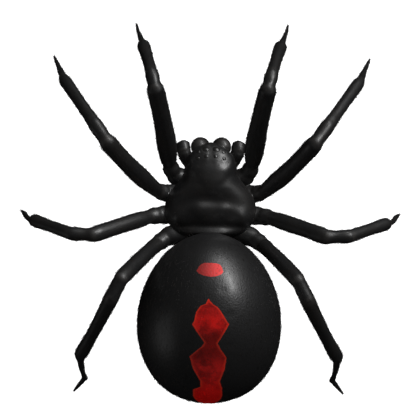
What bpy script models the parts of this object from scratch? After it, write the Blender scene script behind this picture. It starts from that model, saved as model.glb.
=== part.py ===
"""Black widow spider, adult female: a life-size still model that stands on its eight feet.

Metres, +Z up. The head points to -Y and the animal's left side is at +X. The origin is on the floor,
under the middle of the space that the legs take up. Places are given for the left side as
(outwards, backwards, upwards), and the right side is its mirror image.
"""

import math
from dataclasses import dataclass

import bmesh
import bpy
from mathutils import Vector

MM = 0.001

# Driving sizes of the animal
BODY_LENGTH = 13.0 * MM
GAP = 0.3 * MM
SMALL_GAP = 0.05 * MM

# Front part of the body: a raised head blended into a rounder thorax
NOSE_Y = -3.37 * MM
PROSOMA_REAR_Y = 1.48 * MM
HEAD_MIDDLE_Y = -1.85 * MM
HEAD_HALF_WIDTH = 1.27 * MM
HEAD_CROWN_Y = -1.6 * MM
HEAD_CROWN_POWER = 1.4
HEAD_RISE = 1.46 * MM
THORAX_MIDDLE_Y = -0.18 * MM
THORAX_HALF_WIDTH = 2.24 * MM
THORAX_RISE = 1.12 * MM
MARGIN_Z = 2.95 * MM
MARGIN_LIFT = 0.5 * MM
MARGIN_LIFT_START_Y = -1.5 * MM
MARGIN_LIFT_LENGTH = 1.5 * MM
STERNUM_Z = 1.92 * MM
CLYPEUS_Z = 3.22 * MM
CLYPEUS_START_Y = -1.85 * MM
CLYPEUS_LENGTH = 0.75 * MM
UNDERSIDE_POWER = 4.0
FACE_SQUARENESS = 0.3
BLEND_POWER = 7.0
UNDERCUT = 0.38

# Relief of the back: a pit in the middle, and a neck groove from it to each side of the head
PIT_Y = -0.55 * MM
PIT_DEPTH = 0.2 * MM
PIT_HALF_WIDTH = 0.8 * MM
PIT_HALF_LENGTH = 0.33 * MM
GROOVE_DEPTH = 0.07 * MM
GROOVE_HALF_WIDTH = 0.22 * MM
GROOVE_LEAD = 0.3 * MM
GROOVE_SLANT = 0.9
GROOVE_FADE = 0.5 * MM

# Rear part of the body
ABDOMEN_FRONT_Y = 1.08 * MM
JAW_REACH = 0.26 * MM
ABDOMEN_REAR_Y = NOSE_Y - JAW_REACH + BODY_LENGTH
ABDOMEN_HALF_WIDTH = 3.51 * MM
ABDOMEN_RISE = 3.78 * MM
ABDOMEN_DROP = 3.4 * MM
ABDOMEN_Z = 5.0 * MM
ABDOMEN_TILT = 0.5 * MM
ABDOMEN_REAR_FULLNESS = 0.07

# The stalk between the two, which runs into both as far as their gaps
PEDICEL_START = Vector((0.0, 1.08, 2.85)) * MM
PEDICEL_END = Vector((0.0, 2.98, 3.35)) * MM
PEDICEL_RADII = ((0.0, 0.42), (0.5, 0.4), (1.0, 0.46))

# Mesh fineness
BODY_SIDES = 40
PROSOMA_RINGS = 28
ABDOMEN_RINGS = 24
LEG_SIDES = 12
PALP_SIDES = 10
CONE_SIDES = 10
FANG_SIDES = 8
EYE_SIDES = 10
SPINNERET_RING_SIDES = 20
DOME_RINGS = 2
SMOOTH_ANGLE = math.radians(50)

# Finishes: colour and roughness
BODY_FINISH = ((0.012, 0.012, 0.013), 0.32)
LEG_FINISH = ((0.014, 0.013, 0.013), 0.36)
JAW_FINISH = ((0.05, 0.012, 0.008), 0.3)
EYE_FINISH = ((0.004, 0.004, 0.005), 0.08)


@dataclass
class Leg:
    """Joints of one left leg, in millimetres from the origin, and how thick its segments are."""

    number: int
    coxa_root: tuple
    coxa_end: tuple
    femur_start: tuple
    knee: tuple
    patella_end: tuple
    ankle: tuple
    tarsus_start: tuple
    foot: tuple
    femur_radius: float
    patella_radius: float
    tibia_radius: float
    metatarsus_radius: float
    femur_sway: float

    def joint(self, name):
        """The named joint as a point in metres."""
        return Vector(getattr(self, name)) * MM


LEGS = (
    Leg(
        number=1,
        coxa_root=(0.8, -1.42, 2.25),
        coxa_end=(1.8, -1.73, 2.5),
        femur_start=(2.06, -2.28, 3.0),
        knee=(2.67, -5.77, 8.0),
        patella_end=(2.86, -6.52, 7.65),
        ankle=(3.345, -8.02, 4.9),
        tarsus_start=(3.72, -8.96, 1.4),
        foot=(3.83, -9.38, 0.0),
        femur_radius=0.48,
        patella_radius=0.335,
        tibia_radius=0.31,
        metatarsus_radius=0.26,
        femur_sway=0.085,
    ),
    Leg(
        number=2,
        coxa_root=(0.8, -0.7, 2.25),
        coxa_end=(2.2, -0.84, 2.5),
        femur_start=(2.57, -0.91, 3.0),
        knee=(4.945, -3.235, 7.4),
        patella_end=(5.585, -4.115, 6.95),
        ankle=(7.22, -6.34, 4.2),
        tarsus_start=(7.67, -7.105, 1.3),
        foot=(7.98, -7.7, 0.0),
        femur_radius=0.435,
        patella_radius=0.35,
        tibia_radius=0.3,
        metatarsus_radius=0.25,
        femur_sway=-0.09,
    ),
    Leg(
        number=3,
        coxa_root=(0.8, 0.12, 2.25),
        coxa_end=(2.45, 0.25, 2.5),
        femur_start=(2.95, 0.325, 2.9),
        knee=(5.65, 1.23, 5.4),
        patella_end=(6.73, 1.19, 5.35),
        ankle=(8.7, 0.56, 3.4),
        tarsus_start=(9.32, 0.255, 1.1),
        foot=(9.56, 0.12, 0.0),
        femur_radius=0.4,
        patella_radius=0.34,
        tibia_radius=0.31,
        metatarsus_radius=0.2,
        femur_sway=0.0,
    ),
    Leg(
        number=4,
        coxa_root=(0.75, 0.82, 2.25),
        coxa_end=(2.13, 1.33, 2.5),
        femur_start=(2.63, 1.7, 2.9),
        knee=(4.195, 3.265, 7.2),
        patella_end=(4.645, 4.14, 7.1),
        ankle=(6.315, 7.17, 3.6),
        tarsus_start=(6.25, 8.48, 1.1),
        foot=(6.8, 9.17, 0.0),
        femur_radius=0.38,
        patella_radius=0.36,
        tibia_radius=0.335,
        metatarsus_radius=0.27,
        femur_sway=0.03,
    ),
)

# Radii of the leg segments that are alike on all legs, in millimetres
COXA_ROOT_RADIUS = 0.32
COXA_RADIUS = 0.4
TROCHANTER_RADIUS = 0.4
METATARSUS_END_RADIUS = 0.115
TARSUS_RADIUS = 0.105
FOOT_RADIUS = 0.06
FEMUR_BOW = 0.12 * MM

# How each segment swells along its length: (share of the length, share of its radius)
COXA_SWELL = ((0.7, 1.0), (1.0, 0.96))
TROCHANTER_SWELL = ((0.0, 0.8), (0.35, 1.0), (1.0, 0.86))
FEMUR_SWELL = ((0.0, 0.72), (0.1, 0.84), (0.3, 1.0), (0.55, 0.92), (0.85, 0.88), (1.0, 0.86))
PATELLA_SWELL = ((0.0, 0.92), (0.62, 1.0), (1.0, 0.95))
TIBIA_SWELL = ((0.0, 0.94), (0.35, 0.92), (0.75, 0.95), (1.0, 1.0))
METATARSUS_SWELL = ((0.0, 1.0), (0.2, 0.78), (0.45, 0.6))
TARSUS_SWELL = ((0.0, 1.0), (0.5, 0.88))

# Joints of the left palp, in millimetres
PALP_ROOT = Vector((0.72, -2.0, 2.35)) * MM
PALP_FEMUR_START = Vector((1.1, -2.3, 2.5)) * MM
PALP_KNEE = Vector((1.34, -2.98, 2.95)) * MM
PALP_TARSUS_START = Vector((1.36, -3.22, 2.15)) * MM
PALP_TIP = Vector((1.25, -3.16, 1.15)) * MM
PALP_RADIUS = 0.29
PALP_KNEE_RADIUS = 0.35
PALP_HIP_SWELL = ((0.0, 0.9), (0.5, 1.0), (1.0, 0.92))
PALP_TARSUS_SWELL = ((0.0, 0.86), (0.5, 0.8), (1.0, 0.42))

# The left jaw and its fang, which is folded inwards under it
CHELICERA_TOP = Vector((0.56, -3.17, 2.95)) * MM
CHELICERA_BOTTOM = Vector((0.5, -3.2, 1.72)) * MM
CHELICERA_RADIUS = 0.46
CHELICERA_SWELL = ((0.0, 0.82), (0.3, 1.0), (0.65, 0.9), (1.0, 0.6))
FANG_TIP = Vector((0.28, -2.94, 1.38)) * MM
FANG_RADII = ((0.0, 0.15), (0.6, 0.1), (1.0, 0.04))

# Outwards and backwards places of the left eyes on the slope of the head, and their radii, in
# millimetres
EYE_PLACES = {
    "anterior_median": (0.25, -2.98, 0.15),
    "anterior_lateral": (0.62, -2.85, 0.1),
    "posterior_median": (0.23, -2.62, 0.1),
    "posterior_lateral": (0.66, -2.54, 0.1),
}
EYE_BULGE = 0.6
EYE_TILTS = (0.0, math.radians(30), math.radians(60))

SPINNERET_SHARE = 0.74
# The low ring that carries the spinnerets: how far out it starts and ends, and its radii
SPINNERET_RING = (0.1, 0.42)
SPINNERET_RING_RADII = ((0.0, 0.52), (1.0, 0.5))
# Sideways and lengthwise places, length and radius of the left spinnerets, in millimetres
SPINNERETS = (
    (0.26, -0.26, 0.62, 0.2),
    (0.24, 0.24, 0.55, 0.17),
    (0.11, 0.0, 0.4, 0.1),
)
SPINNERET_ROOT = 0.35
SPINNERET_TOP = 0.5
SPINNERET_LEAN = 0.85
SPINNERET_SWELL = ((0.0, 1.0), (0.6, 0.92), (1.0, 0.5))
# The tail knob behind them: its two ends as (lengthwise, outwards), and its radii
TAIL_KNOB = ((0.46, 0.3), (0.52, 0.62))
TAIL_KNOB_RADII = ((0.0, 0.16), (1.0, 0.09))


def squared_circle(angle, power):
    """Cosine and sine of a superellipse: a power of 2 is round, and more is squarer."""
    across, upward = math.cos(angle), math.sin(angle)
    return (
        math.copysign(abs(across) ** (2 / power), across),
        math.copysign(abs(upward) ** (2 / power), upward),
    )


def oval(place, middle, half_length, power=2.0):
    """Share of its full size that an oval has at a place along its length, from 0 to 1."""
    share = min(abs(place - middle) / half_length, 1.0)
    return (1 - share**power) ** (1 / power)


def blended(first, second):
    """The larger of two sizes, with a smooth passage where they are alike."""
    return (first**BLEND_POWER + second**BLEND_POWER) ** (1 / BLEND_POWER)


def eased(share):
    """A smooth step from 0 to 1."""
    share = min(max(share, 0.0), 1.0)
    return share * share * (3 - 2 * share)


def prosoma_hoop(y, angle, grow=0.0):
    """A point on the front part of the body, at a place along it and an angle round it."""
    thorax_half = PROSOMA_REAR_Y - THORAX_MIDDLE_Y + grow
    head_width = (HEAD_HALF_WIDTH + grow) * oval(y, HEAD_MIDDLE_Y, HEAD_MIDDLE_Y - NOSE_Y + grow)
    thorax_width = (THORAX_HALF_WIDTH + grow) * oval(y, THORAX_MIDDLE_Y, thorax_half)
    half_width = blended(head_width, thorax_width)
    crown_half = HEAD_CROWN_Y - NOSE_Y + grow
    head_rise = (HEAD_RISE + grow) * oval(y, HEAD_CROWN_Y, crown_half, HEAD_CROWN_POWER)
    thorax_rise = (THORAX_RISE + grow) * oval(y, THORAX_MIDDLE_Y, thorax_half)
    rise = blended(head_rise, thorax_rise)
    forward = eased((MARGIN_LIFT_START_Y - y) / MARGIN_LIFT_LENGTH)
    margin = MARGIN_Z + MARGIN_LIFT * forward
    chin = eased((CLYPEUS_START_Y - y) / CLYPEUS_LENGTH)
    floor = STERNUM_Z + (CLYPEUS_Z - STERNUM_Z) * chin
    body_middle = (NOSE_Y + PROSOMA_REAR_Y) / 2
    body_half = (PROSOMA_REAR_Y - NOSE_Y) / 2 + grow
    drop = (margin - floor + grow) * oval(y, body_middle, body_half, UNDERSIDE_POWER)
    across, upward = squared_circle(angle, 2.0 + FACE_SQUARENESS * forward)
    if upward >= 0:
        x = half_width * across
        z = margin + rise * upward - carapace_relief(x, y) * upward
    else:
        x = half_width * across * (1 + UNDERCUT * (1 - forward) * upward)
        z = margin + drop * upward
    return Vector((x, y, z))


def carapace_relief(x, y):
    """How deep the carapace is pressed in at a place: the central pit and the two neck grooves."""
    pit = math.exp(-((x / PIT_HALF_WIDTH) ** 2) - ((y - PIT_Y) / PIT_HALF_LENGTH) ** 2)
    neck_y = PIT_Y - GROOVE_LEAD - GROOVE_SLANT * abs(x)
    groove = math.exp(-(((y - neck_y) / GROOVE_HALF_WIDTH) ** 2)) * eased(abs(x) / GROOVE_FADE)
    return PIT_DEPTH * pit + GROOVE_DEPTH * groove


def prosoma_rings(grow=0.0):
    """Rings of the front part of the body from nose to rear, swollen by grow."""
    front, rear = NOSE_Y - grow, PROSOMA_REAR_Y + grow
    middle, half = (front + rear) / 2, (rear - front) / 2
    rings = [[Vector((0, front, MARGIN_Z + MARGIN_LIFT))]]
    for step in range(1, PROSOMA_RINGS):
        y = middle - half * math.cos(math.pi * step / PROSOMA_RINGS)
        rings.append([prosoma_hoop(y, 2 * math.pi * k / BODY_SIDES, grow) for k in range(BODY_SIDES)])
    rings.append([Vector((0, rear, MARGIN_Z))])
    return rings


def abdomen_hoop(share, angle, grow=0.0):
    """A point on the abdomen, at a share of its half length from its middle and an angle round it."""
    middle = (ABDOMEN_FRONT_Y + ABDOMEN_REAR_Y) / 2
    half = (ABDOMEN_REAR_Y - ABDOMEN_FRONT_Y) / 2 + grow
    round_off = math.sqrt(max(1 - share * share, 0.0))
    across, upward = math.cos(angle), math.sin(angle)
    width = (ABDOMEN_HALF_WIDTH + grow) * round_off * (1 + ABDOMEN_REAR_FULLNESS * share)
    height = (ABDOMEN_RISE if upward > 0 else ABDOMEN_DROP) + grow
    z = ABDOMEN_Z - ABDOMEN_TILT * share + height * round_off * upward
    return Vector((width * across, middle + half * share, z))


def abdomen_rings(grow=0.0):
    """Rings of the abdomen from front to rear, swollen by grow."""
    rings = [[abdomen_hoop(-1.0, 0.0, grow)]]
    for step in range(1, ABDOMEN_RINGS):
        share = -math.cos(math.pi * step / ABDOMEN_RINGS)
        rings.append([abdomen_hoop(share, 2 * math.pi * k / BODY_SIDES, grow) for k in range(BODY_SIDES)])
    rings.append([abdomen_hoop(1.0, 0.0, grow)])
    return rings


def square_to(axis):
    """Two directions at right angles to an axis and to each other."""
    side = axis.cross(Vector((0, 0, 1)))
    if side.length < 0.1:
        side = axis.cross(Vector((1, 0, 0)))
    side.normalize()
    return side, side.cross(axis).normalized()


def limb_rings(start, end, radii, sides, start_face=None, end_face=None, bow=0.0, sway=0.0):
    """Rings of one segment from start to end.

    radii holds (share of the length, radius in millimetres) pairs. A face is the normal of the plane
    that ends the segment half a gap from its joint, and an end with no face is a dome. The segment's
    middle stands off the straight line by bow upwards and by sway sideways.
    """
    axis = (end - start).normalized()
    side, lift = square_to(axis)

    def circle(centre, radius):
        turns = (2 * math.pi * k / sides for k in range(sides))
        return [centre + radius * (side * math.cos(t) + lift * math.sin(t)) for t in turns]

    def cut(ring, joint, face, inward):
        plane_point = joint + face * inward
        return [p + axis * ((plane_point - p).dot(face) / axis.dot(face)) for p in ring]

    def dome(centre, radius, outward):
        rings = []
        for step in range(1, DOME_RINGS + 1):
            turn = math.pi / 2 * step / (DOME_RINGS + 1)
            rings.append(circle(centre + outward * radius * math.sin(turn), radius * math.cos(turn)))
        rings.append([centre + outward * radius])
        return rings

    rings = []
    for share, radius in radii:
        centre = start.lerp(end, share) + (lift * bow + side * sway) * 4 * share * (1 - share)
        rings.append(circle(centre, radius * MM))
    if start_face:
        rings[0] = cut(rings[0], start, start_face, GAP / 2)
    else:
        rings[:0] = reversed(dome(start, radii[0][1] * MM, -axis))
    if end_face:
        rings[-1] = cut(rings[-1], end, end_face, -GAP / 2)
    else:
        rings += dome(end, radii[-1][1] * MM, axis)
    return rings


def swollen(swell, radius):
    """The radii of a segment from how it swells and its full radius."""
    return tuple((share, part * radius) for share, part in swell)


def joint_face(before, joint, after):
    """Normal of the plane that halves the bend at a joint."""
    return ((joint - before).normalized() + (after - joint).normalized()).normalized()


def closed_mesh(name, rings):
    """A mesh through the rings in order. A ring of one point is a pole, and any other end is capped."""
    form = bmesh.new()
    rows = [[form.verts.new(point) for point in ring] for ring in rings]
    for row, following in zip(rows, rows[1:]):
        count = max(len(row), len(following))
        for k in range(count):
            after = (k + 1) % count
            corners = []
            for vertex in (
                row[k % len(row)],
                row[after % len(row)],
                following[after % len(following)],
                following[k % len(following)],
            ):
                if vertex not in corners:
                    corners.append(vertex)
            form.faces.new(corners)
    for row in (rows[0], rows[-1]):
        if len(row) > 1:
            form.faces.new(row)
    bmesh.ops.recalc_face_normals(form, faces=form.faces)
    mesh = bpy.data.meshes.new(name)
    form.to_mesh(mesh)
    form.free()
    return mesh


def new_object(name, mesh, material=None):
    """An object that shows the mesh, shaded smooth."""
    made = bpy.data.objects.new(name, mesh)
    bpy.context.scene.collection.objects.link(made)
    mesh.shade_smooth()
    mesh.set_sharp_from_angle(angle=SMOOTH_ANGLE)
    if material:
        mesh.materials.clear()
        mesh.materials.append(material)
    return made


def finish(name, look):
    """A plain material of that colour and roughness."""
    colour, roughness = look
    material = bpy.data.materials.new(name)
    material.use_nodes = True
    shader = material.node_tree.nodes["Principled BSDF"]
    shader.inputs["Base Color"].default_value = (*colour, 1.0)
    shader.inputs["Roughness"].default_value = roughness
    shader.inputs["Metallic"].default_value = 0.0
    return material


def largest_body(mesh):
    """Removes all but the largest closed surface of a mesh."""
    form = bmesh.new()
    form.from_mesh(mesh)
    left, bodies = set(form.verts), []
    while left:
        body, edge = set(), [left.pop()]
        while edge:
            vertex = edge.pop()
            body.add(vertex)
            near = {e.other_vert(vertex) for e in vertex.link_edges} & left
            left -= near
            edge.extend(near)
        bodies.append(body)
    bodies.sort(key=len, reverse=True)
    bmesh.ops.delete(form, geom=[v for body in bodies[1:] for v in body], context="VERTS")
    form.to_mesh(mesh)
    form.free()


def combined(name, operation, first, others, material=None):
    """One object from first and the others by one Boolean, which is then applied."""
    base = new_object(name, first)
    group = bpy.data.collections.new(name + "_pieces")
    bpy.context.scene.collection.children.link(group)
    helpers = []
    for count, mesh in enumerate(others):
        helper = bpy.data.objects.new(f"{name}_piece_{count}", mesh)
        group.objects.link(helper)
        helpers.append(helper)
    boolean = base.modifiers.new("Combine", "BOOLEAN")
    boolean.operation = operation
    boolean.solver = "EXACT"
    boolean.operand_type = "COLLECTION"
    boolean.collection = group
    graph = bpy.context.evaluated_depsgraph_get()
    graph.update()
    result = bpy.data.meshes.new_from_object(base.evaluated_get(graph))
    bpy.data.objects.remove(base)
    for helper in helpers:
        bpy.data.objects.remove(helper)
    bpy.data.collections.remove(group)
    largest_body(result)
    result.name = name
    return new_object(name, result, material)


def united(name, first, others):
    """The mesh of first and the others made one."""
    whole = combined(name, "UNION", first, others)
    mesh = whole.data
    bpy.data.objects.remove(whole)
    return mesh


def clear_of(name, mesh, obstacle, material=None):
    """One object from the mesh, cut back by a gap from the swollen obstacle."""
    return combined(name, "DIFFERENCE", mesh, [closed_mesh("swollen", obstacle(GAP))], material)


def mirrored(name, source, material):
    """The right-hand twin of a left-hand object."""
    mesh = source.data.copy()
    mesh.name = name
    form = bmesh.new()
    form.from_mesh(mesh)
    for vertex in form.verts:
        vertex.co.x = -vertex.co.x
    bmesh.ops.reverse_faces(form, faces=form.faces)
    form.to_mesh(mesh)
    form.free()
    return new_object(name, mesh, material)


def pair(part, build, material):
    """The left object that build makes, and its right twin."""
    left = build(part.format("left"))
    left.data.materials.clear()
    left.data.materials.append(material)
    mirrored(part.format("right"), left, material)


def make_leg(leg, material):
    """The eight nodes of a pair of legs: hip, femur, tibia with patella, and foot, on each side."""
    at = leg.joint
    hip_face = joint_face(at("coxa_end"), at("femur_start"), at("knee"))
    knee_face = joint_face(at("femur_start"), at("knee"), at("patella_end"))
    ankle_face = joint_face(at("patella_end"), at("ankle"), at("tarsus_start"))

    def hip(name):
        coxa = closed_mesh(name, limb_rings(
            at("coxa_root"),
            at("coxa_end"),
            ((0.0, COXA_ROOT_RADIUS), *swollen(COXA_SWELL, COXA_RADIUS)),
            LEG_SIDES,
        ))
        trochanter = closed_mesh(name, limb_rings(
            at("coxa_end"),
            at("femur_start"),
            swollen(TROCHANTER_SWELL, TROCHANTER_RADIUS),
            LEG_SIDES,
            end_face=hip_face,
        ))
        return clear_of(name, united(name, coxa, [trochanter]), prosoma_rings)

    def femur(name):
        rings = limb_rings(
            at("femur_start"), at("knee"), swollen(FEMUR_SWELL, leg.femur_radius), LEG_SIDES,
            hip_face, knee_face, FEMUR_BOW, leg.femur_sway * MM,
        )
        return new_object(name, closed_mesh(name, rings))

    def tibia(name):
        patella = closed_mesh(name, limb_rings(
            at("knee"),
            at("patella_end"),
            swollen(PATELLA_SWELL, leg.patella_radius),
            LEG_SIDES,
            start_face=knee_face,
        ))
        shank = closed_mesh(name, limb_rings(
            at("patella_end"),
            at("ankle"),
            swollen(TIBIA_SWELL, leg.tibia_radius),
            LEG_SIDES,
            end_face=ankle_face,
            bow=FEMUR_BOW / 2,
        ))
        return combined(name, "UNION", patella, [shank])

    def foot(name):
        metatarsus = closed_mesh(name, limb_rings(
            at("ankle"),
            at("tarsus_start"),
            (*swollen(METATARSUS_SWELL, leg.metatarsus_radius), (1.0, METATARSUS_END_RADIUS)),
            LEG_SIDES,
            start_face=ankle_face,
        ))
        down = Vector((0, 0, -1))
        sole = at("foot") + down * GAP / 2
        tarsus = closed_mesh(name, limb_rings(
            at("tarsus_start"),
            sole,
            (*swollen(TARSUS_SWELL, TARSUS_RADIUS), (1.0, FOOT_RADIUS)),
            LEG_SIDES,
            end_face=down,
        ))
        return combined(name, "UNION", metatarsus, [tarsus])

    prefix = f"leg{leg.number}_"
    for ending, build in (
        ("_coxa_trochanter", hip),
        ("_femur", femur),
        ("_patella_tibia", tibia),
        ("_metatarsus_tarsus", foot),
    ):
        pair(prefix + "{}" + ending, build, material)


def make_palp(name):
    """The left palp, a short feeler like a small leg, bent down in front."""
    hip_radii = swollen(PALP_HIP_SWELL, PALP_RADIUS)
    base = closed_mesh(name, limb_rings(PALP_ROOT, PALP_FEMUR_START, hip_radii, PALP_SIDES))
    widening = ((0.0, PALP_RADIUS), (1.0, PALP_KNEE_RADIUS))
    femur = closed_mesh(name, limb_rings(PALP_FEMUR_START, PALP_KNEE, widening, PALP_SIDES))
    narrowing = ((0.0, PALP_KNEE_RADIUS), (1.0, PALP_RADIUS))
    shin = closed_mesh(name, limb_rings(PALP_KNEE, PALP_TARSUS_START, narrowing, PALP_SIDES))
    taper = swollen(PALP_TARSUS_SWELL, PALP_RADIUS)
    tarsus = closed_mesh(name, limb_rings(PALP_TARSUS_START, PALP_TIP, taper, PALP_SIDES))
    return clear_of(name, united(name, base, [femur, shin, tarsus]), prosoma_rings)


def make_chelicera(name):
    """The left jaw, which hangs under the front of the head, with its fang folded inwards."""
    radii = swollen(CHELICERA_SWELL, CHELICERA_RADIUS)
    jaw = closed_mesh(name, limb_rings(CHELICERA_TOP, CHELICERA_BOTTOM, radii, LEG_SIDES))
    fang = closed_mesh(name, limb_rings(CHELICERA_BOTTOM, FANG_TIP, FANG_RADII, FANG_SIDES))
    return clear_of(name, united(name, jaw, [fang]), prosoma_rings)


def crown_point(x, y):
    """The point of the head's upper surface at an outward and a backward place."""
    low, high = 0.0, math.pi / 2
    for _ in range(40):
        angle = (low + high) / 2
        low, high = (angle, high) if prosoma_hoop(y, angle).x > x else (low, angle)
    return prosoma_hoop(y, high)


def make_eye(name, place):
    """A lens on the slope of the head, domed outwards and flat behind."""
    x, y, radius = (size * MM for size in place)
    step = 0.03 * MM
    here = crown_point(x, y)
    normal = (crown_point(x + step, y) - here).cross(crown_point(x, y + step) - here).normalized()
    side, lift = square_to(normal)
    base = here + normal * SMALL_GAP
    rings = []
    for tilt in EYE_TILTS:
        out, up = radius * math.cos(tilt), radius * EYE_BULGE * math.sin(tilt)
        turns = (2 * math.pi * k / EYE_SIDES for k in range(EYE_SIDES))
        rings.append([base + normal * up + out * (side * math.cos(t) + lift * math.sin(t)) for t in turns])
    rings.append([base + normal * radius * EYE_BULGE])
    return new_object(name, closed_mesh(name, rings))


def make_spinnerets(material):
    """The cluster of six spinning cones and the small tail knob, on one low ring under the abdomen."""
    seat = abdomen_hoop(SPINNERET_SHARE, -math.pi / 2)
    behind = abdomen_hoop(SPINNERET_SHARE + 0.02, -math.pi / 2)
    lengthwise = (behind - seat).normalized()
    outward = lengthwise.cross(Vector((1, 0, 0))).normalized()
    if outward.z > 0:
        outward.negate()

    def place(x, y, out):
        return seat + Vector((1, 0, 0)) * x * MM + lengthwise * y * MM + outward * out * MM

    low, high = SPINNERET_RING
    ring = closed_mesh("spinnerets", limb_rings(
        place(0, 0, low), place(0, 0, high), SPINNERET_RING_RADII, SPINNERET_RING_SIDES
    ))
    cones = []
    for x, y, length, radius in SPINNERETS:
        radii = swollen(SPINNERET_SWELL, radius)
        for sign in (-1, 1):
            root = place(sign * x, y, SPINNERET_ROOT)
            tip = place(sign * x * SPINNERET_LEAN, y * SPINNERET_LEAN, SPINNERET_TOP + length)
            cones.append(closed_mesh("cone", limb_rings(root, tip, radii, CONE_SIDES)))
    (root_y, root_out), (tip_y, tip_out) = TAIL_KNOB
    knob = limb_rings(place(0, root_y, root_out), place(0, tip_y, tip_out), TAIL_KNOB_RADII, CONE_SIDES)
    cones.append(closed_mesh("knob", knob))
    clear_of("spinnerets", united("spinnerets", ring, cones), abdomen_rings, material)


def make_pedicel(material):
    """The narrow stalk that joins the abdomen to the front part of the body."""
    stalk = closed_mesh("stalk", limb_rings(PEDICEL_START, PEDICEL_END, PEDICEL_RADII, LEG_SIDES))
    swollen_front = closed_mesh("swollen_front", prosoma_rings(GAP))
    swollen_rear = closed_mesh("swollen_rear", abdomen_rings(GAP))
    combined("pedicel", "DIFFERENCE", stalk, [swollen_front, swollen_rear], material)


def build():
    """Clears the scene and makes every node."""
    for leftover in list(bpy.data.objects):
        bpy.data.objects.remove(leftover)
    shell = finish("shell_black", BODY_FINISH)
    limb_shell = finish("leg_black", LEG_FINISH)
    lens = finish("eye_black", EYE_FINISH)
    jaw = finish("jaw_brown_black", JAW_FINISH)
    new_object("cephalothorax", closed_mesh("cephalothorax", prosoma_rings()), shell)
    new_object("abdomen", closed_mesh("abdomen", abdomen_rings()), shell)
    make_pedicel(shell)
    make_spinnerets(shell)
    pair("chelicera_{}", make_chelicera, jaw)
    pair("pedipalp_{}", make_palp, limb_shell)
    for row, place in EYE_PLACES.items():
        pair("eye_" + row + "_{}", lambda name, place=place: make_eye(name, place), lens)
    for leg in LEGS:
        make_leg(leg, limb_shell)


build()
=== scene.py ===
"""Looks, light and camera of a black widow spider, an adult female, as a life-size still model.

Metres, +Z up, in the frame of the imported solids: the head points to -Y, the animal's left side is at
+X and the feet stand at Z = 0. Sizes in the classes are in millimetres, the unit in which so small an
animal is measured, and points turn into metres when a mesh is made.
"""

from __future__ import annotations

import logging
import math
from collections.abc import Iterable, Sequence
from dataclasses import dataclass, field, replace
from enum import Enum

import bmesh
import bpy
import numpy as np
from mathutils import Matrix, kdtree


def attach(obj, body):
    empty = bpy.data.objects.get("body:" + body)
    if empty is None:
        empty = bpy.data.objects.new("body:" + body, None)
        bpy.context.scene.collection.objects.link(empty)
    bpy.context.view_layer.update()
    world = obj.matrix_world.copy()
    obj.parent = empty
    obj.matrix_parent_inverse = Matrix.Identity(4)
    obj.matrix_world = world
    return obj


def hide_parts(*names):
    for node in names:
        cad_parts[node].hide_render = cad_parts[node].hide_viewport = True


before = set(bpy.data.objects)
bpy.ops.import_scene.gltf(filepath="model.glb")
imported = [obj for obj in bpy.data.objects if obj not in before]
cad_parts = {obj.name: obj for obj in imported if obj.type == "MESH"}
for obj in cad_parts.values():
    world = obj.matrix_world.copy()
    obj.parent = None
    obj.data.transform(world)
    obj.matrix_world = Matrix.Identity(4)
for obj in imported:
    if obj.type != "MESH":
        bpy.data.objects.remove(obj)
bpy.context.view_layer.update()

MM = 0.001
BODY = "root"
SIDES = {"left": 1.0, "right": -1.0}
SKIN = "skin"
UP = np.array((0.0, 0.0, 1.0))
SIDEWAYS = np.array((1.0, 0.0, 0.0))

LOG = logging.getLogger("spider")

Array = np.ndarray
Pair = tuple[float, float]
Point = tuple[float, float, float]
Four = tuple[float, float, float, float]
Stations = tuple[Pair, ...]


def unit(vectors: Array) -> Array:
    """The same directions with a length of 1."""
    return vectors / np.maximum(np.linalg.norm(vectors, axis=-1, keepdims=True), 1e-12)


def eased(value: Array) -> Array:
    """A smooth step from 0 to 1."""
    share = np.clip(value, 0.0, 1.0)
    return share * share * (3 - 2 * share)


def fade(value: Array, start: float, reach: float) -> Array:
    """A smooth step from 0 at a start to 1 a reach further on, or further back where reach is negative."""
    return eased((value - start) / reach)


def bell(value: Array, width: float) -> Array:
    """A bell curve, 1 at a value of 0 and nearly 0 two widths away."""
    return np.exp(-((value / width) ** 2))


def smooth_curve(stations: Stations, places: Array) -> Array:
    """A smooth curve through stations that doesn't swing past them.

    Args:
        stations: (place, value) pairs in order of place.
        places: Where the curve is read.

    Returns:
        The curve's value at each place.
    """
    at, value = np.array(stations, dtype=float).T
    steps = np.diff(at)
    slopes = np.diff(value) / steps
    before, after = slopes[:-1], slopes[1:]
    same_way = before * after > 0
    middle = np.where(same_way, 2 * before * after / np.where(same_way, before + after, 1.0), 0.0)
    tangents = np.concatenate((slopes[:1], middle, slopes[-1:]))
    span = np.clip(np.searchsorted(at, places, side="right") - 1, 0, len(steps) - 1)
    share = np.clip((places - at[span]) / steps[span], 0.0, 1.0)
    rest = 1 - share
    return (
        value[span] * rest * rest * (1 + 2 * share)
        + value[span + 1] * share * share * (3 - 2 * share)
        + steps[span] * rest * share * (tangents[span] * rest - tangents[span + 1] * share)
    )


def grid_normals(rings: Array) -> Array:
    """Directions at right angles to a grid of rings that closes round its sides."""
    along = np.gradient(rings, axis=0)
    around = np.roll(rings, -1, axis=1) - np.roll(rings, 1, axis=1)
    normals = unit(np.cross(around, along))
    outward = rings - rings.mean(axis=1, keepdims=True)
    return np.where((normals * outward).sum() < 0, -normals, normals)


def scaled(stations: Stations, factor: float) -> Stations:
    """Stations with their values times a factor."""
    return tuple((place, value * factor) for place, value in stations)


def angles_round(sides: int) -> Array:
    """Angles of points spread evenly round a form."""
    return 2 * math.pi * np.arange(sides) / sides


def surface_grid(rings: int, sides: int) -> tuple[Array, Array]:
    """Places from -1 to 1 along a form, closer together at its ends, and angles round it, as grids."""
    return np.meshgrid(
        -np.cos(math.pi * np.arange(1, rings) / rings), angles_round(sides), indexing="ij"
    )


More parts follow.
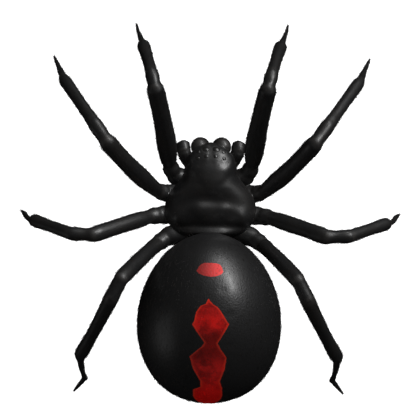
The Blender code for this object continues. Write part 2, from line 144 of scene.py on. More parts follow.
def oval_ring(sides: int, across: Array, lift: Array, depth: float = 1.0) -> Array:
    """Points of a ring with a radius of 1 across and of depth upwards, as (side, axis)."""
    angles = angles_round(sides)
    return np.outer(np.cos(angles), across) + np.outer(np.sin(angles) * depth, lift)


def mirrored(points: Array, side: float) -> Array:
    """Points of the left side, on the side that is asked for."""
    return points * np.array((side, 1.0, 1.0))


class Region(Enum):
    """What a stretch of the skin belongs to."""

    FRONT = "front"
    ABDOMEN = "abdomen"
    LIMB = "limb"
    JAW = "jaw"


class Coat(Enum):
    """The pieces that the fine hairs are made in."""

    FRONT_LEGS = "setae_front_legs"
    REAR_LEGS = "setae_rear_legs"
    ABDOMEN = "setae_abdomen"
    HEAD = "setae_head"


@dataclass
class Loft:
    """A closed form through rings of points, and what the skin and the hairs need to know of it.

    Attributes:
        name: What the form is.
        region: What stretch of the skin it makes.
        rings: Points in millimetres, as (ring, side, axis).
        tips: The points that close the first and the last ring.
        membrane: How soft and pale the skin is at each ring point, from 0 to 1.
        coat: The coat piece that its hairs go to, or None where it is bare.
        cover: How dense the hairs are at each ring point, as a share of the coat's own density.
        hair_length: Length of the hairs in millimetres.
    """

    name: str
    region: Region
    rings: Array
    tips: tuple[Array, Array]
    membrane: Array
    coat: Coat | None = None
    cover: Array = field(default_factory=lambda: np.zeros((1, 1)))
    hair_length: float = 0.2

    def points(self) -> Array:
        """Every vertex of the closed form: the rings in order, then the two tips."""
        return np.vstack((self.rings.reshape(-1, 3), self.tips[0], self.tips[1]))

    def values(self, per_ring_point: Array) -> Array:
        """Values at the ring points, with the values of the first and last ring at the tips."""
        spread = np.broadcast_to(per_ring_point, self.rings.shape[:2])
        return np.concatenate((spread.ravel(), spread[0, :1], spread[-1, :1]))

    def on_side(self, side: float) -> Loft:
        """This form of the left side, on the side that is asked for."""
        tips = (mirrored(self.tips[0], side), mirrored(self.tips[1], side))
        return replace(self, rings=mirrored(self.rings, side), tips=tips)

    def indices(self) -> tuple[Array, Array]:
        """Numbers of the ring points, and of the next point round each ring."""
        count, sides, _ = self.rings.shape
        index = np.arange(count * sides).reshape(count, sides)
        return index, np.roll(index, -1, axis=1)

    def quads(self) -> Array:
        """Corners of the faces between the rings, in the order in which the rings are given."""
        index, following = self.indices()
        return np.stack((index[:-1], following[:-1], following[1:], index[1:]), axis=-1).reshape(-1, 4)

    def is_inside_out(self) -> bool:
        """Whether the faces between the rings point inwards in that order."""
        points = self.points()
        corners = points[self.quads()] - points.mean(axis=0)
        return np.einsum("ij,ij->", corners[:, 0], np.cross(corners[:, 1], corners[:, 2])) < 0

    def faces(self) -> list[list[int]]:
        """Corner lists of the closed form's faces, pointing outwards."""
        index, following = self.indices()
        first, last = index.size, index.size + 1
        start = np.stack((following[0], index[0], np.full(len(index[0]), first)), axis=-1)
        end = np.stack((index[-1], following[-1], np.full(len(index[0]), last)), axis=-1)
        faces = self.quads().tolist() + start.tolist() + end.tolist()
        return [face[::-1] for face in faces] if self.is_inside_out() else faces

    def mesh(self) -> bpy.types.Mesh:
        """The closed form as a mesh, in millimetres, as fusing works best at that size."""
        made = bpy.data.meshes.new(self.name)
        made.from_pydata(self.points().tolist(), [], self.faces())
        return made


@dataclass(frozen=True)
class Tube:
    """One tube of a limb between two joints, round and closed by a dome at each end.

    Attributes:
        name: What the tube is.
        start, end: Its first and last joint, in millimetres.
        radii: (share of the length, radius) stations.
        bow, sway: How far its middle stands off the straight line, upwards and sideways.
        depth: Height of the cross-section over its width.
        start_dome, end_dome: Depth of the first and the last dome over its radius.
        neck: Share of the length, from the start, that is soft membrane.
        bare, bare_fade: Share of the length that has no hairs, and over which they then begin.
        bare_height: Height over the floor, in millimetres, under which it has no hairs.
        dome_cover: Density of the hairs on the last dome, as a share of the tube's own.
        dome_step: Angle between the rings of a dome, in degrees.
        past_end: Share of the length at which the rings of a dome count as past the tube's end.
        fewest_steps: Number of steps along a very short tube.
        upright: Sine of the angle to the vertical under which a tube counts as upright.
    """

    name: str
    start: Point
    end: Point
    radii: Stations
    bow: float = 0.0
    sway: float = 0.0
    depth: float = 1.0
    start_dome: float = 0.9
    end_dome: float = 0.8
    neck: float = 0.07
    bare: float = 0.0
    bare_fade: float = 0.06
    bare_height: float = 0.16
    dome_cover: float = 0.3
    dome_step: float = 15.0
    past_end: float = 0.01
    fewest_steps: int = 6
    upright: float = 0.15

    def loft(
        self,
        side: float,
        region: Region,
        sides: int,
        step: float,
        coat: Coat | None = None,
        hair_length: float = 0.0,
        fullness: float = 1.0,
    ) -> Loft:
        """The tube as a closed form.

        Args:
            side: 1 on the left and -1 on the right.
            region: What stretch of the skin it makes.
            sides: Points round each ring.
            step: Distance between rings, in millimetres.
            coat: The coat piece that its hairs go to.
            hair_length: Length of its hairs, in millimetres.
            fullness: Density of its hairs as a share of the coat's own.

        Returns:
            The closed form.
        """
        start, end = np.array(self.start), np.array(self.end)
        length = float(np.linalg.norm(end - start))
        axis = (end - start) / length
        across = np.cross(axis, UP)
        if np.linalg.norm(across) < self.upright:
            across = np.cross(axis, SIDEWAYS)
        across = unit(across)
        lift = np.cross(across, axis)
        shares = np.linspace(0.0, 1.0, max(int(length / step), self.fewest_steps) + 1)
        radii = smooth_curve(self.radii, shares)
        bend = 4 * shares * (1 - shares)
        centres = (
            start
            + np.outer(shares * length, axis)
            + np.outer(bend * self.bow, lift)
            + np.outer(bend * self.sway, across)
        )
        turns = np.radians(np.arange(self.dome_step, 90.0, self.dome_step))
        first, last = float(radii[0]), float(radii[-1])
        opening = np.outer(np.sin(turns[::-1]) * first * self.start_dome, -axis)
        closing = np.outer(np.sin(turns) * last * self.end_dome, axis)
        centres = np.vstack((start + opening, centres, end + closing))
        radii = np.concatenate((first * np.cos(turns[::-1]), radii, last * np.cos(turns)))
        ring = oval_ring(sides, across, lift, self.depth)
        dome = np.full(len(turns), self.past_end)
        along = np.concatenate((-dome, shares, 1 + dome))
        covered = fade(along, self.bare, self.bare_fade) * np.where(along > 1.0, self.dome_cover, 1.0)
        covered = covered * fade(centres[:, 2], self.bare_height, self.bare_height)
        left = Loft(
            name=self.name,
            region=region,
            rings=centres[:, None, :] + radii[:, None, None] * ring,
            tips=(start - axis * first * self.start_dome, end + axis * last * self.end_dome),
            membrane=self.softness(along)[:, None],
            coat=coat,
            cover=(covered * fullness)[:, None],
            hair_length=hair_length,
        )
        return left.on_side(side)

    def softness(self, along: Array) -> Array:
        """How soft and pale the skin is at shares of the length: soft at the neck, hard after it."""
        return 1 - eased(along / max(self.neck, 0.001) - 0.4)


@dataclass(frozen=True)
class Leg:
    """One pair of legs, in millimetres: the joints of the left one and the radii along its tubes.

    The femur to the metatarsus have (share of the length, radius) stations, and the other tubes are
    worked out from a radius. A sway is how far a tube's middle stands off the straight line sideways,
    and bow how far the femur's stands off it upwards.
    """

    number: int
    coxa_root: Point
    coxa_end: Point
    femur_start: Point
    knee: Point
    patella_end: Point
    ankle: Point
    tarsus_start: Point
    foot: Point
    femur: Stations
    patella: Stations
    tibia: Stations
    metatarsus: Stations
    femur_sway: float = 0.0
    tibia_sway: float = 0.0
    metatarsus_sway: float = 0.0
    coxa_root_radius: float = 0.34
    coxa_radius: float = 0.47
    trochanter_radius: float = 0.44
    trochanter_end: float = 0.86
    tarsus_radius: float = 0.085
    sole_radius: float = 0.06
    bow: float = 0.12
    sides: int = 24
    ring_step: float = 0.11

    @property
    def coat(self) -> Coat:
        """The coat piece that this leg's hairs go to."""
        return Coat.FRONT_LEGS if self.number <= 2 else Coat.REAR_LEGS

    def tubes(self) -> list[tuple[Tube, float, float]]:
        """The leg's seven tubes from hip to foot, each with its hair length and hair density."""
        coxa, hip = self.coxa_radius, self.trochanter_radius
        toe, sole = self.tarsus_radius, self.sole_radius
        foot = (self.foot[0], self.foot[1], self.foot[2] + sole)
        return [
            (Tube("coxa", self.coxa_root, self.coxa_end,
                  ((0.0, self.coxa_root_radius), (0.6, coxa), (0.88, coxa), (1.0, coxa * 0.96)),
                  bare=0.55, neck=0.0), 0.16, 0.6),
            (Tube("trochanter", self.coxa_end, self.femur_start,
                  ((0.0, hip * 0.86), (0.3, hip * 0.96), (0.62, hip), (1.0, hip * self.trochanter_end)),
                  neck=0.25, bare=0.1), 0.16, 0.6),
            (Tube("femur", self.femur_start, self.knee, self.femur,
                  bow=self.bow, sway=self.femur_sway, neck=0.04, end_dome=0.6), 0.2, 1.0),
            (Tube("patella", self.knee, self.patella_end, self.patella, neck=0.1), 0.18, 1.0),
            (Tube("tibia", self.patella_end, self.ankle, self.tibia,
                  bow=self.bow / 2, sway=self.tibia_sway, neck=0.05, end_dome=0.45), 0.2, 1.1),
            (Tube("metatarsus", self.ankle, self.tarsus_start, self.metatarsus,
                  sway=self.metatarsus_sway, neck=0.06), 0.18, 1.3),
            (Tube("tarsus", self.tarsus_start, foot,
                  ((0.0, toe * 0.9), (0.15, toe), (0.5, toe * 0.82), (1.0, sole)),
                  neck=0.06, end_dome=0.9), 0.15, 1.6),
        ]

    def lofts(self) -> list[Loft]:
        """The tubes of both legs of the pair as closed forms."""
        made = []
        for side in SIDES.values():
            for tube, hair_length, fullness in self.tubes():
                made.append(tube.loft(
                    side, Region.LIMB, self.sides, self.ring_step, self.coat, hair_length, fullness
                ))
        return made

    def nodes(self) -> list[str]:
        """Names of the solids that this pair of legs stands for."""
        tubes = ("coxa_trochanter", "femur", "patella_tibia", "metatarsus_tarsus")
        return [f"leg{self.number}_{side}_{tube}" for side in SIDES for tube in tubes]


LEGS = (
    Leg(
        number=1, coxa_root=(0.8, -1.42, 2.25), coxa_end=(1.79, -1.72, 2.5),
        femur_start=(2.06, -2.28, 3.0), knee=(2.67, -5.77, 8.0),
        patella_end=(2.86, -6.52, 7.65), ankle=(3.345, -8.02, 4.9),
        tarsus_start=(3.72, -8.96, 1.4), foot=(3.83, -9.38, 0.0),
        femur=(
            (0.0, 0.322), (0.08, 0.412), (0.2, 0.467), (0.35, 0.487), (0.5, 0.45), (0.65, 0.435),
            (0.85, 0.424), (0.93, 0.43), (1.0, 0.404),
        ),
        patella=(
            (0.0, 0.34), (0.08, 0.325), (0.2, 0.286), (0.35, 0.313), (0.65, 0.345), (0.9, 0.328),
            (1.0, 0.316),
        ),
        tibia=((0.0, 0.292), (0.2, 0.288), (0.35, 0.281), (0.65, 0.299), (0.85, 0.315), (0.94, 0.318),
               (1.0, 0.292)),
        metatarsus=(
            (0.0, 0.262), (0.08, 0.21), (0.2, 0.152), (0.35, 0.14), (0.5, 0.135), (0.8, 0.1), (1.0, 0.09),
        ),
        femur_sway=0.075, tibia_sway=0.015, coxa_radius=0.48, trochanter_radius=0.43,
        trochanter_end=0.76, tarsus_radius=0.087,
    ),
    Leg(
        number=2, coxa_root=(0.8, -0.7, 2.25), coxa_end=(2.2, -0.84, 2.5),
        femur_start=(2.57, -0.91, 3.0), knee=(4.945, -3.235, 7.4),
        patella_end=(5.585, -4.115, 6.95), ankle=(7.22, -6.34, 4.2),
        tarsus_start=(7.67, -7.105, 1.3), foot=(7.98, -7.7, 0.0),
        femur=(
            (0.0, 0.352), (0.08, 0.362), (0.2, 0.399), (0.35, 0.442), (0.5, 0.43), (0.65, 0.413),
            (0.82, 0.411), (0.93, 0.429), (1.0, 0.404),
        ),
        patella=((0.0, 0.362), (0.2, 0.342), (0.35, 0.334), (0.65, 0.35), (0.9, 0.358), (1.0, 0.35)),
        tibia=((0.0, 0.332), (0.08, 0.324), (0.2, 0.292), (0.5, 0.288), (0.75, 0.298), (0.92, 0.31),
               (1.0, 0.282)),
        metatarsus=(
            (0.0, 0.26), (0.08, 0.252), (0.2, 0.194), (0.35, 0.175), (0.65, 0.168), (0.8, 0.132),
            (1.0, 0.124),
        ),
        femur_sway=-0.09, trochanter_end=0.76, tarsus_radius=0.12,
    ),
    Leg(
        number=3, coxa_root=(0.8, 0.12, 2.25), coxa_end=(2.45, 0.25, 2.5),
        femur_start=(2.95, 0.325, 2.9), knee=(5.65, 1.23, 5.4),
        patella_end=(6.73, 1.19, 5.35), ankle=(8.7, 0.56, 3.4),
        tarsus_start=(9.32, 0.255, 1.1), foot=(9.56, 0.12, 0.0),
        femur=(
            (0.0, 0.357), (0.08, 0.357), (0.2, 0.392), (0.35, 0.397), (0.65, 0.384), (0.8, 0.389),
            (0.93, 0.4), (1.0, 0.377),
        ),
        patella=(
            (0.0, 0.368), (0.08, 0.36), (0.2, 0.325), (0.45, 0.31), (0.65, 0.329), (0.85, 0.346),
            (1.0, 0.34),
        ),
        tibia=((0.0, 0.327), (0.1, 0.318), (0.25, 0.304), (0.55, 0.289), (0.75, 0.31), (0.92, 0.326),
               (1.0, 0.297)),
        metatarsus=(
            (0.0, 0.165), (0.08, 0.145), (0.2, 0.134), (0.35, 0.135), (0.5, 0.13), (0.8, 0.126), (1.0, 0.124),
        ),
        femur_sway=0.014, metatarsus_sway=-0.085, tarsus_radius=0.112,
    ),
    Leg(
        number=4, coxa_root=(0.75, 0.82, 2.25), coxa_end=(2.13, 1.33, 2.5),
        femur_start=(2.63, 1.7, 2.9), knee=(4.195, 3.265, 7.2),
        patella_end=(4.645, 4.14, 7.1), ankle=(6.315, 7.17, 3.6),
        tarsus_start=(6.215, 8.485, 1.1), foot=(6.79, 9.18, 0.0),
        femur=(
            (0.0, 0.382), (0.08, 0.38), (0.2, 0.361), (0.35, 0.367), (0.5, 0.378), (0.8, 0.38),
            (0.93, 0.389), (1.0, 0.368),
        ),
        patella=((0.0, 0.367), (0.2, 0.347), (0.5, 0.348), (0.8, 0.362), (0.92, 0.374), (1.0, 0.372)),
        tibia=(
            (0.0, 0.377), (0.08, 0.364), (0.2, 0.343), (0.35, 0.328), (0.65, 0.306), (0.8, 0.324),
            (0.92, 0.338), (1.0, 0.317),
        ),
        metatarsus=(
            (0.0, 0.285), (0.08, 0.256), (0.2, 0.174), (0.35, 0.166), (0.5, 0.153), (0.8, 0.12), (1.0, 0.158),
        ),
        femur_sway=0.03, tibia_sway=-0.035, metatarsus_sway=0.055, coxa_radius=0.5, tarsus_radius=0.125,
    ),
)


@dataclass(frozen=True)
class Prosoma:
    """The front part of the body: a raised head blended into a rounder thorax.

    Sizes are in millimetres. A fade is where a change starts and how far it takes, negative forwards.

    Attributes:
        nose_y, rear_y: Places of the front end and the rear end.
        widths, crown: (place, half width) stations to the widest place, and (place, height) ones.
        tail_power: Fullness of the outline behind the widest place.
        margin_z, margin_lift: Height of the back's lower edge, and how much higher it is at the head.
        head_fade: Where the edge rises to the head.
        sternum_z, clypeus_z: Height of the underside between the legs and at the face.
        face_fade: Where the underside rises to the face.
        floor_power, undercut: Fullness of the underside's ends, and how much narrower it is below.
        head_squareness, face_squareness: How square the head's back and underside are, 0 for round.
        square_fade: Where the back grows square.
        pit_y, pit_depth: Place and depth of the pit in the middle of the back.
        pit_reach: Its half width and its half length.
        groove_depth, groove_width: Depth and half width of the grooves between head and thorax.
        groove_ahead, groove_slant: How far before the pit they start, and how far they run forwards
            for each millimetre outwards.
        groove_gap: How far from the middle they are at full depth.
        ridge: The swelling behind the pit: place, half width, length before and behind, and height.
        furrows: Shallow furrows that run out from the pit: angle in degrees, depth and half width.
        furrow_start, furrow_end: Where along its run a furrow starts and ends.
        lobes: Low swellings on each side: distance outwards, place, radius and height.
        brow, brow_depth, brow_softness: The flat on the left of the head: the direction in which it
            looks, how deep it cuts in, and how far its edge is rounded.
        rims: Rolls along the edge: place up the side from 0 to 1, half width, height and front end.
        rim_fade: How far a roll takes to reach its height.
        plate: The breast plate's middle, half length, half width and taper.
        plate_height, plate_edge: How far it stands out, and the width of its edge.
        keel: Half width and height of the low keel along it.
        back_share, under_share: Sine of the angle round the form at which the relief of the back
            and of the underside is whole.
        eye_places: Name, distance outwards, place and radius of each eye of the left side.
        eye_mound, eye_fade: Height of the mound that carries an eye, and how far it takes to fall.
        eye_clearing: How far round an eye the hairs thin out.
        thorax_cover, under_cover: Density of the hairs on the thorax's back and on the underside,
            where the head's is 1.
        cover_fade: Where the hairs grow denser.
        probe, halvings: Step that measures the surface's direction, and halvings that find a point.
        rings, sides: Steps along the form and points round it.
    """

    nose_y: float = -3.37
    rear_y: float = 1.48
    widths: Stations = (
        (-3.37, 0.0), (-3.34, 0.12), (-3.26, 0.29), (-3.12, 0.57), (-2.98, 0.8), (-2.85, 0.96),
        (-2.71, 1.08), (-2.51, 1.17), (-2.21, 1.24), (-1.79, 1.33), (-1.44, 1.51), (-1.16, 1.76),
        (-0.73, 2.06), (-0.31, 2.21), (-0.1, 2.24),
    )
    crown: Stations = (
        (-3.37, 3.45), (-3.35, 3.56), (-3.27, 3.73), (-3.0, 4.02), (-2.7, 4.23), (-2.3, 4.4),
        (-1.9, 4.48), (-1.55, 4.49), (-1.2, 4.44), (-0.9, 4.36), (-0.55, 4.25), (-0.1, 4.16),
        (0.2, 4.08), (0.5, 3.95), (0.7, 3.82), (0.8, 3.78), (1.0, 3.85), (1.11, 3.88), (1.25, 3.68),
        (1.42, 3.22), (1.48, 2.95),
    )
    tail_power: float = 2.2
    margin_z: float = 2.95
    margin_lift: float = 0.5
    head_fade: Pair = (-1.5, -1.5)
    sternum_z: float = 1.92
    clypeus_z: float = 3.22
    face_fade: Pair = (-1.85, -0.75)
    floor_power: float = 4.0
    undercut: float = 0.38
    head_squareness: float = 0.9
    square_fade: Pair = (-1.2, -1.2)
    face_squareness: float = 0.3
    pit_y: float = -0.51
    pit_depth: float = 0.17
    pit_reach: Pair = (0.7, 0.33)
    groove_depth: float = 0.03
    groove_ahead: float = 0.3
    groove_slant: float = 0.9
    groove_width: float = 0.22
    groove_gap: float = 0.5
    ridge: tuple[float, float, float, float, float] = (-0.08, 1.2, 0.27, 0.75, 0.07)
    furrows: tuple[Point, ...] = ((10.0, 0.04, 0.28), (36.0, 0.03, 0.18), (60.0, 0.02, 0.18))
    furrow_start: Pair = (0.5, 0.6)
    furrow_end: Pair = (1.95, -0.5)
    lobes: tuple[Four, ...] = (
        (1.5, -0.42, 0.42, 0.04), (1.55, 0.36, 0.42, 0.17), (0.66, -0.02, 0.3, 0.05),
    )
    brow: Point = (0.35, -0.36, 0.86)
    brow_depth: float = 0.06
    brow_softness: float = 0.02
    rims: tuple[Four, ...] = ((0.07, 0.06, 0.03, -3.0), (0.22, 0.07, -0.012, -2.6))
    rim_fade: float = 0.6
    plate: Four = (-0.35, 1.5, 1.02, 0.16)
    plate_height: float = 0.07
    plate_edge: float = 0.14
    keel: Pair = (0.3, 0.05)
    back_share: float = 0.2
    under_share: float = 0.25
    eye_places: tuple[tuple[str, float, float, float], ...] = (
        ("anterior_median", 0.25, -2.98, 0.175),
        ("anterior_lateral", 0.62, -2.85, 0.11),
        ("posterior_median", 0.23, -2.64, 0.115),
        ("posterior_lateral", 0.66, -2.56, 0.11),
    )
    eye_mound: float = 0.03
    eye_fade: float = 0.24
    eye_clearing: float = 0.1
    thorax_cover: float = 0.5
    cover_fade: Pair = (-1.2, -1.0)
    under_cover: float = 0.8
    probe: float = 0.03
    halvings: int = 40
    rings: int = 104
    sides: int = 120

    @staticmethod
    def oval(place: Array, middle: float, half: float, power: float) -> Array:
        """Share of its full size that an oval has at a place along its length."""
        share = np.minimum(np.abs(place - middle) / half, 1.0)
        return (1 - share**power) ** (1 / power)

    def relief(self, x: Array, y: Array) -> Array:
        """How deep the back is pressed in at a place: the central pit and the two neck grooves."""
        across, along = self.pit_reach
        pit = bell(x, across) * bell(y - self.pit_y, along)
        neck_y = self.pit_y - self.groove_ahead - self.groove_slant * np.abs(x)
        groove = bell(y - neck_y, self.groove_width) * eased(np.abs(x) / self.groove_gap)
        return self.pit_depth * pit + self.groove_depth * groove

    def hoop(self, y: Array, angle: Array) -> Array:
        """Points of the smooth form at places along it and angles round it."""
        back = self.widths[-1][0]
        tail = self.oval(y, back, self.rear_y - back, self.tail_power)
        half_width = smooth_curve(self.widths, y) * np.where(y > back, tail, 1.0)
        forward = fade(y, *self.head_fade)
        margin = self.margin_z + self.margin_lift * forward
        rise = smooth_curve(self.crown, y) - margin
        floor = self.sternum_z + (self.clypeus_z - self.sternum_z) * fade(y, *self.face_fade)
        middle, half = self.span()
        drop = (margin - floor) * self.oval(y, middle, half, self.floor_power)
        squareness = np.where(
            np.sin(angle) > 0,
            self.head_squareness * fade(y, *self.square_fade),
            self.face_squareness * forward,
        )
        power = 2 / (2.0 + squareness)
        across = np.sign(np.cos(angle)) * np.abs(np.cos(angle)) ** power
        upward = np.sign(np.sin(angle)) * np.abs(np.sin(angle)) ** power
        above = upward >= 0
        x = half_width * across * np.where(above, 1.0, 1 + self.undercut * (1 - forward) * upward)
        z = np.where(above, margin + (rise - self.relief(x, y)) * upward, margin + drop * upward)
        return np.stack((x, y, z), axis=-1)

    def span(self) -> Pair:
        """Place of the form's middle and half its length."""
        return (self.nose_y + self.rear_y) / 2, (self.rear_y - self.nose_y) / 2

    def grid(self) -> tuple[Array, Array]:
        """Places along the form and angles round it, for all points of its rings."""
        middle, half = self.span()
        shares, angles = surface_grid(self.rings, self.sides)
        return middle + half * shares, angles

    def browed(self, points: Array) -> Array:
        """Points of the form after a soft flat on each side of the head, that looks forwards and out."""
        smooth = self.hoop(*self.grid())
        for side in SIDES.values():
            way = unit(mirrored(np.array(self.brow), side))
            level = (smooth @ way).max() - self.brow_depth
            over = (points @ way - level) / self.brow_softness
            points = points - way * np.asarray(self.brow_softness * np.logaddexp(0.0, over))[..., None]
        return points

    def crown_point(self, x: float, y: float) -> Array:
        """The point of the head's upper surface at an outward and a backward place."""
        low, high = 0.0, math.pi / 2
        for _ in range(self.halvings):
            angle = (low + high) / 2
            low, high = (angle, high) if self.hoop(np.array(y), np.array(angle))[0] > x else (low, angle)
        return self.browed(self.hoop(np.array(y), np.array(high)))

    def crown_normal(self, x: float, y: float) -> Array:
        """The direction at right angles to the head's upper surface at a place."""
        here, step = self.crown_point(x, y), self.probe
        return unit(np.cross(self.crown_point(x + step, y) - here, self.crown_point(x, y + step) - here))

    def carving(self, points: Array, upward: Array) -> Array:
        """Height of the fine relief at each point, outwards, for the sine of the angle round the form."""
        x, y = points[..., 0], points[..., 1]
        out = np.abs(x)
        height = np.zeros_like(x)
        for angle, depth, width in self.furrows:
            turn = math.radians(angle)
            run = out * math.cos(turn) + (y - self.pit_y) * math.sin(turn)
            off = -out * math.sin(turn) + (y - self.pit_y) * math.cos(turn)
            height -= depth * bell(off, width) * fade(run, *self.furrow_start) * fade(run, *self.furrow_end)
        ridge_y, reach, before, behind, swell = self.ridge
        along = np.where(y < ridge_y, bell(y - ridge_y, before), bell(y - ridge_y, behind))
        height += swell * along * bell(x, reach)
        for across, place, reach, swell in self.lobes:
            height += swell * bell(np.hypot(out - across, y - place), reach)
        for _, eye_x, eye_y, radius in self.eye_places:
            away = np.hypot(out - eye_x, y - eye_y)
            height += self.eye_mound * (1 - fade(away, radius, self.eye_fade))
        height *= fade(upward, 0.0, self.back_share)
        for place, width, swell, front in self.rims:
            height += swell * bell(upward - place, width) * fade(y, front, self.rim_fade)
        plate_y, plate_length, plate_width, taper = self.plate
        behind = y - plate_y
        oval = np.sqrt(np.clip(1 - (behind / plate_length) ** 2, 0.0, 1.0))
        edge = plate_width * oval * (1 - taper * behind)
        keel_width, keel_height = self.keel
        plate = self.plate_height + keel_height * bell(out, keel_width)
        return height + plate * fade(out, edge, -self.plate_edge) * fade(upward, 0.0, -self.under_share)

    def loft(self) -> Loft:
        """The whole front part as a closed form."""
        places, angles = self.grid()
        rings = self.browed(self.hoop(places, angles))
        upward = np.sin(angles)
        rings += grid_normals(rings) * self.carving(rings, upward)[..., None]
        tips = (
            np.array((0.0, self.nose_y, self.margin_z + self.margin_lift)),
            np.array((0.0, self.rear_y, self.margin_z)),
        )
        denser = (1 - self.thorax_cover) * fade(places, *self.cover_fade)
        cover = np.where(upward > 0, self.thorax_cover + denser, self.under_cover)
        for _, eye_x, eye_y, radius in self.eye_places:
            away = np.hypot(np.abs(rings[..., 0]) - eye_x, rings[..., 1] - eye_y)
            cover *= 1 - bell(away, radius + self.eye_clearing)
        return Loft(
            name="prosoma",
            region=Region.FRONT,
            rings=rings,
            tips=tips,
            membrane=np.zeros_like(upward),
            coat=Coat.HEAD,
            cover=cover,
            hair_length=0.17,
        )

    def mouthparts(self) -> list[Loft]:
        """The lip and the two chewing plates beside it, under the head."""
        lip = Tube("labium", (0.0, -1.62, 2.12), (0.0, -2.0, 2.12), ((0.0, 0.26), (1.0, 0.2)), depth=0.7)
        plate = Tube(
            "endite", (0.66, -1.72, 2.2), (0.34, -2.52, 2.2),
            ((0.0, 0.27), (0.5, 0.27), (1.0, 0.2)), depth=0.85,
        )
        places = ((lip, 1.0, 0.8), *((plate, side, 1.0) for side in SIDES.values()))
        return [
            tube.loft(
                side, Region.FRONT, sides=20, step=0.08, coat=Coat.HEAD, hair_length=0.14, fullness=fullness
            )
            for tube, side, fullness in places
        ]


